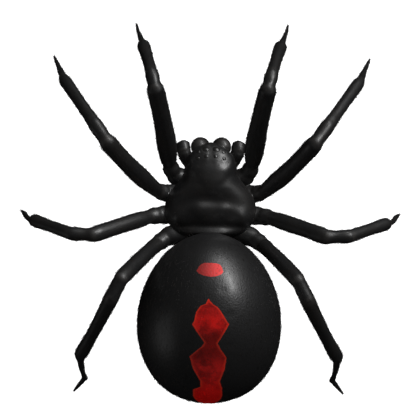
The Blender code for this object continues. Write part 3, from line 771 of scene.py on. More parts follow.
@dataclass(frozen=True)
class Abdomen:
    """The globe of the abdomen, with the plates and furrow under it and the spinning cones.

    Sizes are in millimetres, and distances outwards hold for both sides.

    Attributes:
        front_y, rear_y: Places of the front end and the rear end.
        half_width: Half the width in the middle.
        rear_power: Fullness of the outline behind the middle, where the front's is 2.
        rise, drop: Height over and under the middle.
        middle_z: Height of the middle over the floor.
        tilt: How far the rear end hangs under the middle.
        rear_fullness: Share by which the rear end is wider than a plain oval.
        back_share, under_share: Sine of the angle round the globe at which the relief of the back
            and of the underside is whole.
        dimples, dimple_depth: The back's dimples: distance outwards, place and radius, and depth.
        furrow: The furrow across the underside: place, half width, reach outwards and depth.
        furrow_slant, furrow_fade: How far it runs back for each millimetre outwards, and how far its
            ends take to grow shallow.
        lung: The cover of a book lung: distance outwards, place, half width and half length.
        lung_height, lung_edge: How far it stands out, and its edge, as a fade over the square of the
            share of its size.
        knob: The low knob in the middle: place, half width, half length and height.
        knob_edge: Where its edge lies, as a fade over the share of its size.
        opening: The opening behind the knob: place, radius and depth.
        ripple_height: Height of the faint ripples all over.
        ripples: Two crossing waves: turns for each millimetre outwards and along, and their start.
        cover_fade: Where the hairs begin, as a fade over the share of the half length.
        spinneret_share, probe: Place of the spinning cones as such a share, and a step beside it.
        ring_radii, tail_radii: Stations of the low ring under the cones and of the knob behind them.
        cones: The cones of one side: distance outwards, place, length and radius.
        cone_radii: Stations of a cone with a radius of 1.
        cone_lean: How far outwards and along a cone's tip stands, as shares of its root's distance.
        rings, sides: Steps along the globe and points round it.
    """

    front_y: float = 1.08
    rear_y: float = 9.4
    half_width: float = 3.49
    rear_power: float = 2.08
    rise: float = 3.78
    drop: float = 3.4
    middle_z: float = 5.0
    tilt: float = 0.5
    rear_fullness: float = 0.07
    back_share: float = 0.3
    under_share: float = 0.5
    dimples: tuple[Point, ...] = ((0.62, 3.75, 0.13), (0.98, 4.9, 0.15), (0.98, 6.35, 0.12))
    dimple_depth: float = 0.03
    furrow: Four = (3.15, 0.09, 2.1, 0.07)
    furrow_slant: float = 0.1
    furrow_fade: float = 0.4
    lung: Four = (1.15, 2.6, 0.62, 0.42)
    lung_height: float = 0.05
    lung_edge: Pair = (1.25, -0.5)
    knob: Four = (2.86, 0.42, 0.26, 0.17)
    knob_edge: Pair = (1.4, -1.0)
    opening: Point = (3.0, 0.1, 0.1)
    ripple_height: float = 0.008
    ripples: tuple[Point, Point] = ((2.3, 1.1, 0.0), (-0.8, 1.7, 0.6))
    cover_fade: Pair = (-0.93, 0.1)
    spinneret_share: float = 0.74
    probe: float = 0.02
    ring_radii: Stations = ((0.0, 0.6), (0.5, 0.56), (1.0, 0.47))
    cones: tuple[Four, ...] = (
        (0.26, -0.26, 0.62, 0.2),
        (0.24, 0.24, 0.55, 0.17),
        (0.11, 0.0, 0.4, 0.1),
    )
    cone_radii: Stations = ((0.0, 1.0), (0.5, 0.98), (0.56, 0.84), (0.85, 0.68), (1.0, 0.42))
    cone_lean: Pair = (0.78, 0.8)
    tail_radii: Stations = ((0.0, 0.17), (0.6, 0.14), (1.0, 0.08))
    rings: int = 116
    sides: int = 132

    @property
    def middle_y(self) -> float:
        """Place of the globe's middle along the body."""
        return (self.front_y + self.rear_y) / 2

    def hoop(self, share: Array, angle: Array) -> Array:
        """Points of the smooth globe, at shares of its half length and angles round it."""
        power = np.where(share > 0, self.rear_power, 2.0)
        round_off = np.maximum(1 - np.abs(share) ** power, 0.0) ** (1 / power)
        width = self.half_width * round_off * (1 + self.rear_fullness * share)
        height = np.where(np.sin(angle) > 0, self.rise, self.drop)
        y = self.middle_y + (self.rear_y - self.front_y) / 2 * share
        z = self.middle_z - self.tilt * share + height * round_off * np.sin(angle)
        return np.stack((width * np.cos(angle), y, z), axis=-1)

    def carving(self, points: Array, angle: Array) -> Array:
        """Height of the fine relief at each point, outwards, in millimetres."""
        x, y = points[..., 0], points[..., 1]
        out = np.abs(x)
        back = np.zeros_like(x)
        for dimple_x, dimple_y, radius in self.dimples:
            back -= self.dimple_depth * bell(np.hypot(out - dimple_x, y - dimple_y), radius)
        furrow_y, width, reach, depth = self.furrow
        behind = y - (furrow_y + self.furrow_slant * out)
        under = -depth * bell(behind, width) * fade(out, reach, -self.furrow_fade)
        lung_x, lung_y, width, length = self.lung
        lung = ((out - lung_x) / width) ** 2 + ((y - lung_y) / length) ** 2
        under += self.lung_height * fade(lung, *self.lung_edge)
        knob_y, width, length, swell = self.knob
        under += swell * fade(np.hypot(x / width, (y - knob_y) / length), *self.knob_edge)
        opening_y, radius, depth = self.opening
        under -= depth * bell(np.hypot(x, y - opening_y), radius)
        one, other = (np.sin(by_x * x + by_y * y + start) for by_x, by_y, start in self.ripples)
        return (
            back * fade(np.sin(angle), 0.0, self.back_share)
            + under * fade(np.sin(angle), 0.0, -self.under_share)
            + self.ripple_height * one * other
        )

    def loft(self) -> Loft:
        """The globe as a closed form."""
        shares, angles = surface_grid(self.rings, self.sides)
        rings = self.hoop(shares, angles)
        rings += grid_normals(rings) * self.carving(rings, angles)[..., None]
        ends = self.hoop(np.array((-1.0, 1.0)), np.zeros(2))
        return Loft(
            name="abdomen",
            region=Region.ABDOMEN,
            rings=rings,
            tips=(ends[0], ends[1]),
            membrane=np.zeros_like(angles),
            coat=Coat.ABDOMEN,
            cover=fade(shares, *self.cover_fade),
            hair_length=0.17,
        )

    def spinneret_frame(self) -> tuple[Array, Array, Array]:
        """Where the spinning cones stand: their seat, and the directions along and out of the body."""
        shares = self.spinneret_share + np.array((0.0, self.probe))
        seat, behind = self.hoop(shares, np.full(2, -math.pi / 2))
        lengthwise = unit(behind - seat)
        outward = unit(np.cross(lengthwise, SIDEWAYS))
        return seat, lengthwise, outward if outward[2] < 0 else -outward

    def spinnerets(self) -> list[Loft]:
        """The low ring, the six spinning cones on it and the tail knob behind them."""
        seat, lengthwise, outward = self.spinneret_frame()

        def place(x: float, y: float, out: float) -> Point:
            """A point beside the seat, as a tuple."""
            return tuple(seat + SIDEWAYS * x + lengthwise * y + outward * out)

        ring = Tube("spinneret_ring", place(0, 0, -0.2), place(0, 0, 0.3), self.ring_radii, end_dome=0.35)
        tail = Tube("tail_knob", place(0, 0.46, 0.2), place(0, 0.54, 0.62), self.tail_radii, neck=0.1)
        spread, stride = self.cone_lean
        cones = []
        for x, y, length, radius in self.cones:
            for side in SIDES.values():
                root, tip = place(side * x, y, 0.3), place(side * x * spread, y * stride, 0.5 + length)
                cones.append(Tube("spinneret", root, tip, scaled(self.cone_radii, radius), neck=0.2))
        return [
            tube.loft(
                1.0, Region.ABDOMEN, sides=20, step=0.07, coat=Coat.ABDOMEN, hair_length=0.12, fullness=1.2
            )
            for tube in (ring, *cones, tail)
        ]


@dataclass(frozen=True)
class Palps:
    """The two feelers beside the jaws, each like a short leg bent down in front, in millimetres."""

    root: Point = (0.72, -2.0, 2.35)
    femur_start: Point = (1.1, -2.3, 2.5)
    knee: Point = (1.34, -2.92, 2.92)
    tibia_start: Point = (1.385, -3.27, 2.8)
    tibia_root: Point = (1.37, -3.12, 2.6)
    tarsus_start: Point = (1.36, -3.22, 2.15)
    tip: Point = (1.25, -3.16, 1.15)
    radius: float = 0.29
    knee_radius: float = 0.365

    def lofts(self) -> list[Loft]:
        """Both palps as closed forms."""
        thick, knee = self.radius, self.knee_radius
        tubes = (
            Tube("hip", self.root, self.femur_start,
                 scaled(((0.0, 0.9), (0.5, 1.0), (1.0, 0.9)), thick), bare=0.5, neck=0.0),
            Tube("femur", self.femur_start, self.knee,
                 scaled(((0.0, 0.9), (0.3, 1.05), (0.8, 1.18), (1.0, 1.2)), thick), bow=0.05, end_dome=0.5),
            Tube("patella", self.knee, self.tibia_start,
                 scaled(((0.0, 0.93), (0.5, 0.97), (1.0, 0.92)), knee),
                 neck=0.08, start_dome=0.6, end_dome=0.42),
            Tube("tibia", self.tibia_root, self.tarsus_start,
                 ((0.0, knee * 0.86), (0.4, thick), (1.0, thick)), neck=0.1, start_dome=0.5),
            Tube("tarsus", self.tarsus_start, self.tip,
                 scaled(((0.0, 0.82), (0.2, 0.9), (0.6, 0.74), (1.0, 0.36)), thick), neck=0.08),
        )
        made = []
        for side in SIDES.values():
            for tube in tubes:
                made.append(tube.loft(
                    side, Region.LIMB, sides=24, step=0.07, coat=Coat.HEAD, hair_length=0.18, fullness=1.4
                ))
        return made


@dataclass(frozen=True)
class Jaws:
    """The two jaws that hang under the front of the head, and their fangs folded inwards.

    Sizes are in millimetres, and taper has the stations of a jaw with a radius of 1.
    """

    top: Point = (0.56, -3.14, 3.2)
    bottom: Point = (0.5, -3.2, 1.72)
    radius: float = 0.475
    taper: Stations = ((0.0, 0.9), (0.25, 1.0), (0.55, 0.94), (0.8, 0.76), (1.0, 0.54))
    bow: float = -0.03
    fang_root: Point = (0.5, -3.16, 1.52)
    fang_bend: Point = (0.42, -3.12, 1.22)
    fang_tip: Point = (0.12, -2.92, 1.34)
    fang_radius: float = 0.13
    fang_tip_radius: float = 0.012

    def lofts(self) -> list[Loft]:
        """Both jaws as closed forms."""
        jaw = Tube("jaw", self.top, self.bottom, scaled(self.taper, self.radius), bow=self.bow, neck=0.0)
        return [
            jaw.loft(side, Region.JAW, sides=32, step=0.05, coat=Coat.HEAD, hair_length=0.2, fullness=0.7)
            for side in SIDES.values()
        ]

    def fangs(self, finish: bpy.types.Material) -> list[bpy.types.Object]:
        """The two curved fangs, each a piece of its own."""
        fang = Horn(
            self.fang_root, self.fang_bend, self.fang_tip, self.fang_radius, self.fang_tip_radius
        ).loft()
        return [piece(f"fang_{name}", [fang.on_side(side)], finish) for name, side in SIDES.items()]


@dataclass(frozen=True)
class Horn:
    """A curved, tapering spike from root to tip that bends past a third point, as fangs and claws do.

    Its radius goes from the root's to the tip's with the power taper of the share that is left, and
    its root is rounded to a depth of base root radii.
    """

    root: Point
    bend: Point
    tip: Point
    root_radius: float
    tip_radius: float
    rings: int = 14
    sides: int = 12
    taper: float = 0.8
    base: float = 0.5

    def loft(self) -> Loft:
        """The left side's spike as a closed form."""
        root, bend, tip = np.array(self.root), np.array(self.bend), np.array(self.tip)
        share = np.linspace(0.0, 1.0, self.rings)[:, None]
        centres = root * (1 - share) ** 2 + 2 * bend * share * (1 - share) + tip * share**2
        ways = unit(np.gradient(centres, axis=0))
        flat = unit(np.cross(bend - root, tip - bend))
        radii = self.tip_radius + (self.root_radius - self.tip_radius) * (1 - share[:, 0]) ** self.taper
        angles = angles_round(self.sides)
        other = np.cross(flat[None, :], ways)
        circle = np.cos(angles)[None, :, None] * flat + np.sin(angles)[None, :, None] * other[:, None, :]
        rings = centres[:, None, :] + radii[:, None, None] * circle
        tips = (root - ways[0] * self.root_radius * self.base, tip + ways[-1] * self.tip_radius)
        return Loft("horn", Region.JAW, rings, tips, np.zeros((1, 1)))


@dataclass(frozen=True)
class Claws:
    """The claws at the tip of each foot: a pair of curved hooks and a smaller one between them.

    Attributes:
        length, spread: How far a claw's tip stands ahead and to the side, in millimetres.
        radius, tip_radius: Radius of its root and its tip.
        root_height: Height of its root over the floor.
        hooks: The three claws: which way they stand to the side, and their size.
        root_spread: Where the root stands to the side, as a share of the spread.
        bend: Where it bends: shares of the length ahead, of the spread aside and of the length up.
        tip_height: Height of its tip over the floor, as a share of the radius.
    """

    length: float = 0.17
    spread: float = 0.055
    radius: float = 0.02
    tip_radius: float = 0.003
    root_height: float = 0.085
    hooks: tuple[Pair, ...] = ((-1.0, 1.0), (1.0, 1.0), (0.0, 0.65))
    root_spread: float = 0.4
    bend: Point = (0.62, 0.5, 0.28)
    tip_height: float = 0.6

    def of_foot(self, leg: Leg) -> list[Loft]:
        """The three claws of a leg's left foot as closed forms."""
        foot, shank = np.array(leg.foot), np.array(leg.foot) - np.array(leg.tarsus_start)
        ahead = unit(np.array((shank[0], shank[1], 0.0)))
        beside = np.cross(ahead, UP)
        bend_ahead, bend_aside, bend_up = self.bend
        made = []
        for way, size in self.hooks:
            root = foot + UP * self.root_height + beside * way * self.spread * self.root_spread
            bend = root + ahead * self.length * bend_ahead * size + beside * way * self.spread * bend_aside
            bend = bend + UP * self.length * bend_up * size
            tip = root + ahead * self.length * size + beside * way * self.spread
            tip[2] = self.radius * self.tip_height
            claw = Horn(
                tuple(root), tuple(bend), tuple(tip), self.radius * size, self.tip_radius, rings=9, sides=8
            )
            made.append(claw.loft())
        return made

    def build(self, finish: bpy.types.Material) -> list[bpy.types.Object]:
        """One piece of three claws for each foot."""
        return [
            piece(f"claws_{leg.number}_{name}", [claw.on_side(side) for claw in self.of_foot(leg)], finish)
            for leg in LEGS
            for name, side in SIDES.items()
        ]


@dataclass(frozen=True)
class Eyes:
    """Eight small lenses in two rows on the front of the head.

    Attributes:
        bulge: How far a lens stands out, as a share of its radius.
        sunk: How far it is let into its mound, in millimetres.
        tilts: Angles of its lowest and its highest ring, in degrees.
        base: How far it goes on under the skin, as a share of its radius.
        rings, sides: Number of its rings, and of the points round it.
    """

    bulge: float = 0.42
    sunk: float = 0.01
    tilts: Pair = (-38.0, 80.0)
    base: float = 0.7
    rings: int = 9
    sides: int = 28

    def build(self, head: Prosoma, finish: bpy.types.Material) -> list[bpy.types.Object]:
        """One lens for each eye, each in the place of its solid."""
        made = []
        for row, x, y, radius in head.eye_places:
            normal = head.crown_normal(x, y)
            seat = head.crown_point(x, y) + normal * (head.eye_mound - self.sunk)
            across = unit(np.cross(normal, UP))
            lift = np.cross(across, normal)
            tilts = np.radians(np.linspace(*self.tilts, self.rings))
            ring = oval_ring(self.sides, across, lift)
            centres = seat + np.outer(np.sin(tilts) * radius * self.bulge, normal)
            rings = centres[:, None, :] + (np.cos(tilts) * radius)[:, None, None] * ring
            tips = (seat - normal * radius * self.base, seat + normal * radius * self.bulge)
            left = Loft("lens", Region.FRONT, rings, tips, np.zeros((1, 1)))
            for side_name, side in SIDES.items():
                lens = piece(f"lens_{row}_{side_name}", [left.on_side(side)], finish)
                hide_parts(f"eye_{row}_{side_name}")
                made.append(lens)
        return made


@dataclass(frozen=True)
class Pedicel:
    """The narrow stalk that joins the abdomen to the front part of the body, in millimetres."""

    start: Point = (0.0, 1.1, 2.85)
    end: Point = (0.0, 2.9, 3.35)
    radius: float = 0.42
    taper: Stations = ((0.0, 1.0), (0.4, 0.92), (1.0, 1.15))

    def loft(self) -> Loft:
        """The stalk as a closed form."""
        stalk = Tube("pedicel", self.start, self.end, scaled(self.taper, self.radius), neck=1.2)
        return stalk.loft(1.0, Region.FRONT, sides=28, step=0.08)


def in_scene(name: str, data: bpy.types.ID) -> bpy.types.Object:
    """A new object at the scene's origin."""
    made = bpy.data.objects.new(name, data)
    bpy.context.scene.collection.objects.link(made)
    return made


def hung(
    name: str, data: bpy.types.ID, axes: Sequence[Array | Point], place: Array | Point
) -> bpy.types.Object:
    """A new object at a place, turned so that its own axes point along the given ones."""
    made = in_scene(name, data)
    turned = np.eye(4)
    turned[:3] = np.column_stack((*axes, place))
    made.matrix_world = Matrix(turned.tolist())
    return made


def on_body(name: str, mesh: bpy.types.Mesh) -> bpy.types.Object:
    """A new object at the origin that rides on the body."""
    made = in_scene(name, mesh)
    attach(made, BODY)
    return made


def piece(name: str, lofts: Sequence[Loft], finish: bpy.types.Material) -> bpy.types.Object:
    """One smooth-shaded object made of separate closed forms, on the body and with one material."""
    points, faces, start = [], [], 0
    for loft in lofts:
        own = loft.points()
        points.append(own)
        faces += [[corner + start for corner in face] for face in loft.faces()]
        start += len(own)
    mesh = bpy.data.meshes.new(name)
    mesh.from_pydata((np.vstack(points) * MM).tolist(), [], faces)
    mesh.shade_smooth()
    mesh.materials.append(finish)
    return on_body(name, mesh)


class Skin:
    """One unbroken skin over body, jaws and limbs: all their forms fused, with softened creases.

    A crease is softened over crease_rings rings of vertices on each side, in crease_passes passes that
    pull a vertex crease_pull of the way to the middle of its neighbours. A vertex is a crease's own
    where it is more than new_place millimetres from every vertex of the forms.
    """

    crease_rings = 3
    crease_passes = 5
    crease_pull = 0.5
    new_place = 0.0001

    def __init__(self, lofts: Sequence[Loft]) -> None:
        """Keeps the forms that the skin is fused from."""
        self.lofts = lofts

    def fused(self) -> bpy.types.Mesh:
        """The outer surface of all the forms together, as one closed mesh."""
        base = in_scene(SKIN, self.lofts[0].mesh())
        group = bpy.data.collections.new("forms")
        bpy.context.scene.collection.children.link(group)
        helpers = []
        for loft in self.lofts[1:]:
            helper = bpy.data.objects.new(loft.name, loft.mesh())
            group.objects.link(helper)
            helpers.append(helper)
        union = base.modifiers.new("Fuse", "BOOLEAN")
        union.operation = "UNION"
        union.operand_type = "COLLECTION"
        union.collection = group
        union.solver = "MANIFOLD"
        graph = bpy.context.evaluated_depsgraph_get()
        result = bpy.data.meshes.new_from_object(base.evaluated_get(graph))
        for made in (base, *helpers):
            bpy.data.objects.remove(made)
        bpy.data.collections.remove(group)
        return result

    def softened(self, mesh: bpy.types.Mesh, sources: kdtree.KDTree) -> None:
        """Rounds the creases where forms meet, which are the vertices that no form had before."""
        form = bmesh.new()
        form.from_mesh(mesh)
        form.verts.ensure_lookup_table()
        near = {
            vertex.index: 0 for vertex in form.verts if sources.find(vertex.co)[2] > self.new_place
        }
        edge = list(near)
        for ring in range(1, self.crease_rings + 1):
            following = []
            for index in edge:
                for link in form.verts[index].link_edges:
                    other = link.other_vert(form.verts[index]).index
                    if other not in near:
                        near[other] = ring
                        following.append(other)
            edge = following
        weights = {
            index: self.crease_pull * (1 - ring / (self.crease_rings + 1)) for index, ring in near.items()
        }
        for _ in range(self.crease_passes):
            moved = {}
            for index, weight in weights.items():
                vertex = form.verts[index]
                around = [link.other_vert(vertex).co for link in vertex.link_edges]
                middle = sum(around[1:], around[0].copy()) / len(around)
                moved[index] = vertex.co.lerp(middle, weight)
            for index, place in moved.items():
                form.verts[index].co = place
        form.to_mesh(mesh)
        form.free()

    def build(self, finish: bpy.types.Material) -> bpy.types.Object:
        """The skin as a piece, with masks that say what each stretch of it is."""
        points = np.vstack([loft.points() for loft in self.lofts])
        sources = kdtree.KDTree(len(points))
        for index, point in enumerate(points.tolist()):
            sources.insert(point, index)
        sources.balance()
        mesh = self.fused()
        self.softened(mesh, sources)
        masks = {
            "membrane": np.concatenate([loft.values(loft.membrane) for loft in self.lofts]),
            "abdomen": self.region_mask(Region.ABDOMEN),
            "limb": self.region_mask(Region.LIMB),
            "jaw": self.region_mask(Region.JAW),
        }
        nearest = np.array([sources.find(vertex.co)[1] for vertex in mesh.vertices])
        for name, values in masks.items():
            layer = mesh.attributes.new(name, "FLOAT", "POINT")
            layer.data.foreach_set("value", values[nearest].astype(np.float32))
        mesh.transform(Matrix.Scale(MM, 4))
        mesh.materials.clear()
        mesh.materials.append(finish)
        mesh.shade_smooth()
        return on_body(SKIN, mesh)

    def region_mask(self, region: Region) -> Array:
        """1 at each form's points where the form is of that region, and 0 elsewhere."""
        return np.concatenate([
            np.full(len(loft.points()), float(loft.region is region)) for loft in self.lofts
        ])


class Port:
    """A socket of a node tree, with Python's arithmetic on numbers."""

    def __init__(self, book: Book, socket: bpy.types.NodeSocket) -> None:
        """Keeps the socket and the book of nodes that it is in."""
        self.book = book
        self.socket = socket

    def worked(self, operation: str, first: Port | float, second: Port | float = 0.0) -> Port:
        """A Math node's result."""
        return self.book.node("ShaderNodeMath", {"operation": operation}, {0: first, 1: second})

    def __add__(self, other: Port | float) -> Port:
        """This plus other."""
        return self.worked("ADD", self, other)

    __radd__ = __add__

    def __sub__(self, other: Port | float) -> Port:
        """This less other."""
        return self.worked("SUBTRACT", self, other)

    def __rsub__(self, other: Port | float) -> Port:
        """Other less this."""
        return self.worked("SUBTRACT", other, self)

    def __mul__(self, other: Port | float) -> Port:
        """This times other."""
        return self.worked("MULTIPLY", self, other)

    __rmul__ = __mul__

    def __truediv__(self, other: Port | float) -> Port:
        """This over other."""
        return self.worked("DIVIDE", self, other)

    def size(self) -> Port:
        """This without its sign."""
        return self.worked("ABSOLUTE", self)

    def at_least(self, other: Port | float) -> Port:
        """The larger of this and other."""
        return self.worked("MAXIMUM", self, other)

    def at_most(self, other: Port | float) -> Port:
        """The smaller of this and other."""
        return self.worked("MINIMUM", self, other)

    def eased(self, low: float, high: float) -> Port:
        """A smooth step from 0 at low to 1 at high."""
        return self.book.node(
            "ShaderNodeMapRange",
            {"interpolation_type": "SMOOTHSTEP"},
            {"Value": self, "From Min": low, "From Max": high},
        )


class Book:
    """Adds nodes to one node tree."""

    def __init__(self, tree: bpy.types.NodeTree) -> None:
        """Keeps the tree."""
        self.tree = tree

    def node(
        self,
        kind: str,
        settings: dict | None = None,
        inputs: dict | None = None,
        output: str | int = 0,
    ) -> Port:
        """One node, with its settings first and then its inputs.

        Args:
            kind: The node's type.
            settings: Its own properties. The name stops gives a color ramp's (place, colour) stops.
            inputs: Values or ports for its sockets, by name or number.
            output: The socket that comes back, by name or number.

        Returns:
            The output as a port.
        """
        made = self.tree.nodes.new(kind)
        for name, value in (settings or {}).items():
            if name == "stops":
                self.set_stops(made.color_ramp, value)
            else:
                setattr(made, name, value)
        for name, value in (inputs or {}).items():
            self.feed(made.inputs[name], value)
        return Port(self, made.outputs[output])

    def feed(self, socket: bpy.types.NodeSocket, value: Port | object) -> None:
        """Links a port to a socket, or sets the socket's own value."""
        if isinstance(value, Port):
            self.tree.links.new(value.socket, socket)
        elif socket.type == "RGBA" and len(value) == 3:
            socket.default_value = (*value, 1.0)
        else:
            socket.default_value = value

    @staticmethod
    def set_stops(ramp: bpy.types.ColorRamp, stops: Sequence[tuple[float, tuple]]) -> None:
        """Puts a ramp's stops in place, each a place from 0 to 1 and a colour."""
        while len(ramp.elements) > 1:
            ramp.elements.remove(ramp.elements[-1])
        for count, (place, colour) in enumerate(stops):
            element = ramp.elements[0] if count == 0 else ramp.elements.new(place)
            element.position = place
            element.color = (*colour, 1.0)

    def vector(self, operation: str, first: Port, second: Port | Point) -> Port:
        """A Vector Math node's result."""
        return self.node("ShaderNodeVectorMath", {"operation": operation}, {0: first, 1: second})

    def scaled(self, vector: Port, factor: Port | float) -> Port:
        """A vector times a number."""
        return self.node("ShaderNodeVectorMath", {"operation": "SCALE"}, {0: vector, "Scale": factor})

    def mixed(self, factor: Port | float, first: Port | tuple, second: Port | tuple) -> Port:
        """A colour from first to second as factor goes from 0 to 1."""
        return self.node(
            "ShaderNodeMix",
            {"data_type": "RGBA", "clamp_factor": True},
            {0: factor, 6: first, 7: second},
            2,
        )

    def mask(self, name: str) -> Port:
        """A number that the mesh carries at its points."""
        return self.node("ShaderNodeAttribute", {"attribute_name": name}, None, "Fac")

    def noise(self, place: Port, scale: float, detail: float = 2.0, roughness: float = 0.5) -> Port:
        """Soft noise from 0 to 1."""
        return self.node(
            "ShaderNodeTexNoise", None,
            {"Vector": place, "Scale": scale, "Detail": detail, "Roughness": roughness},
        )

    def bump(self, strength: float, distance: float, height: Port) -> Port:
        """The surface's direction after a fine relief of a height in metres."""
        return self.node(
            "ShaderNodeBump", None, {"Strength": strength, "Distance": distance, "Height": height},
        )

    def part(self, place: Port, axis: str) -> Port:
        """One of the three numbers of a place."""
        return self.node("ShaderNodeSeparateXYZ", None, {0: place}, axis)


class Finish:
    """A material that a subclass dresses with nodes."""

    name: str

    def material(self) -> bpy.types.Material:
        """The finished material."""
        made = bpy.data.materials.new(self.name)
        made.use_nodes = True
        shader = made.node_tree.nodes["Principled BSDF"]
        self.dress(Book(made.node_tree), shader)
        return made

    def dress(self, book: Book, shader: bpy.types.ShaderNode) -> None:
        """Sets the shader's sockets."""
        raise NotImplementedError

    @staticmethod
    def millimetres(book: Book) -> Port:
        """The point on the piece, in millimetres."""
        return book.scaled(book.node("ShaderNodeTexCoord", None, None, "Object"), 1 / MM)


@dataclass(frozen=True)
class RedMarkings:
    """The red figures on the abdomen: a spot and a stripe on its back and an hourglass under it.

    A place on the globe is read as an angle over it in degrees, from the front over the top to the
    tail, and a distance to the side in millimetres. Edges are (angle, distance) stations. Two reds
    are for a mask's 0 and 1, and a red's fourth number is its strength. Two or four places are where a
    mask starts and ends its rise and its fall. A noise has its scale, detail and roughness.

    Attributes:
        globe: The abdomen.
        axis_y: Where along the body the angles have their axis.
        spot_left, spot_right: Edges of the spot.
        stripe_left, stripe_right: Edges of the stripe.
        hourglass_middle, hourglass_half_length: Its middle and half its length, as angles.
        hourglass_half_width, hourglass_waist: Its half width at the ends and in the middle.
        hourglass_point: How far inside its ends its middle counts, in millimetres.
        hourglass_end: Where it ends, as a share of the half length.
        reach: The largest distance that an edge can have.
        edge: How soft the edges are.
        end_fade: How soft the figures' ends are, in degrees.
        waver: Scale and reach of the noise along the edges.
        blotch_noise, blotch, reds: The red and its darker blotches.
        speck_noise, speck, speck_red: The dark specks.
        waist, waist_red: The dark stretch at the stripe's narrow place.
        tail, tail_red: The brighter stretch at the tail.
        crown, crown_red: The darker stretch ahead of the crown: its middle and its fall.
        rim, rim_reds, rim_share: The lighter rim, and at the narrow place, and its strength.
        waist_rim: How much the narrow place counts in the rim.
        spot_light_to_shade, spot_lit_and_shaded_reds, spot_share: The spot's red with painted light and
        shade, brighter on its right, the side that the lamps light, and darker on its left: where that change
        runs, the lit and the shaded red, and their strength.
        spot_specks: How much the specks show through them.
    """

    globe: Abdomen = Abdomen()
    axis_y: float = 5.255
    spot_left: Stations = (
        (48.6, 0.24), (49.3, 0.38), (50.8, 0.49), (54.0, 0.61), (56.1, 0.5), (57.7, 0.28), (58.6, 0.0),
    )
    spot_right: Stations = (
        (48.6, -0.32), (49.2, -0.46), (50.4, -0.55), (54.3, -0.66), (56.2, -0.57), (57.9, -0.36),
        (58.6, -0.12),
    )
    stripe_left: Stations = (
        (73.6, 0.04), (77.3, 0.18), (78.4, 0.41), (82.3, 0.61), (88.7, 0.7), (91.6, 0.79), (97.9, 0.54),
        (105.2, 0.22), (108.5, 0.34), (112.2, 0.61), (117.3, 0.91), (128.2, 0.74), (139.7, 0.39),
        (146.3, 0.38), (150.8, 0.73), (160.2, 0.74), (166.7, 0.65), (176.0, 0.4), (186.0, 0.0),
    )
    stripe_right: Stations = (
        (73.6, 0.04), (77.2, -0.16), (79.2, -0.4), (82.2, -0.56), (88.1, -0.8), (91.3, -0.94),
        (97.0, -0.75), (105.7, -0.41), (110.6, -0.56), (118.0, -0.84), (128.4, -0.76), (140.1, -0.54),
        (148.2, -0.65), (159.7, -0.66), (165.6, -0.6), (176.0, -0.34), (186.0, 0.0),
    )
    hourglass_middle: float = 283.0
    hourglass_half_length: float = 17.0
    hourglass_half_width: float = 0.78
    hourglass_waist: float = 0.16
    hourglass_point: float = 4.0
    hourglass_end: Pair = (0.96, 1.0)
    reach: float = 1.2
    edge: float = 0.022
    end_fade: float = 0.2
    waver: Pair = (5.0, 0.05)
    blotch_noise: Point = (1.7, 3.0, 0.6)
    blotch: Pair = (0.38, 0.66)
    reds: tuple[Point, Point] = ((0.6, 0.004, 0.002), (0.28, 0.002, 0.001))
    speck_noise: Point = (9.0, 2.0, 0.6)
    speck: Pair = (0.56, 0.72)
    speck_red: Four = (0.07, 0.004, 0.004, 0.45)
    waist: Four = (92.0, 101.0, 112.0, 132.0)
    waist_red: Four = (0.09, 0.002, 0.001, 0.8)
    tail: Pair = (130.0, 152.0)
    tail_red: Four = (0.8, 0.003, 0.001, 0.6)
    crown: Point = (82.0, 2.0, 7.0)
    crown_red: Four = (0.16, 0.004, 0.003, 0.4)
    rim: Pair = (0.02, 0.14)
    rim_reds: tuple[Point, Point] = ((0.78, 0.03, 0.006), (0.28, 0.012, 0.002))
    rim_share: float = 0.6
    waist_rim: float = 0.5
    spot_light_to_shade: Pair = (-0.7, 0.55)
    spot_lit_and_shaded_reds: tuple[Point, Point] = ((0.95, 0.01, 0.008), (0.22, 0.004, 0.003))
    spot_share: float = 0.9
    spot_specks: float = 0.8

    def edge_ramp(self, book: Book, angle: Port, stations: Stations) -> Port:
        """Distance of one edge to the side, in millimetres, at an angle over the globe."""
        low, high = stations[0][0], stations[-1][0]
        stops = tuple(
            ((place - low) / (high - low), (0.5 + value / (2 * self.reach),) * 3) for place, value in stations
        )
        share = (angle - low) / (high - low)
        ramp = book.node("ShaderNodeValToRGB", {"stops": stops}, {"Fac": share})
        return (ramp - 0.5) * (2 * self.reach)

    def inside(
        self, book: Book, angle: Port, side: Port, left: Stations, right: Stations
    ) -> tuple[Port, Port]:
        """How far inside a figure a place is, and whether it is in it at all.

        Args:
            book: The material's nodes.
            angle: Angle over the globe, in degrees.
            side: Distance to the side, in millimetres.
            left: The figure's left edge.
            right: Its right edge.

        Returns:
            The distance from the nearer edge in millimetres, and a mask from 0 to 1.
        """
        depth = (self.edge_ramp(book, angle, left) - side).at_most(side - self.edge_ramp(book, angle, right))
        low, high = max(left[0][0], right[0][0]), min(left[-1][0], right[-1][0])
        soft = self.end_fade
        along = angle.eased(low - soft, low + soft) * (1 - angle.eased(high - soft, high + soft))
        return depth, depth.eased(-self.edge, self.edge) * along

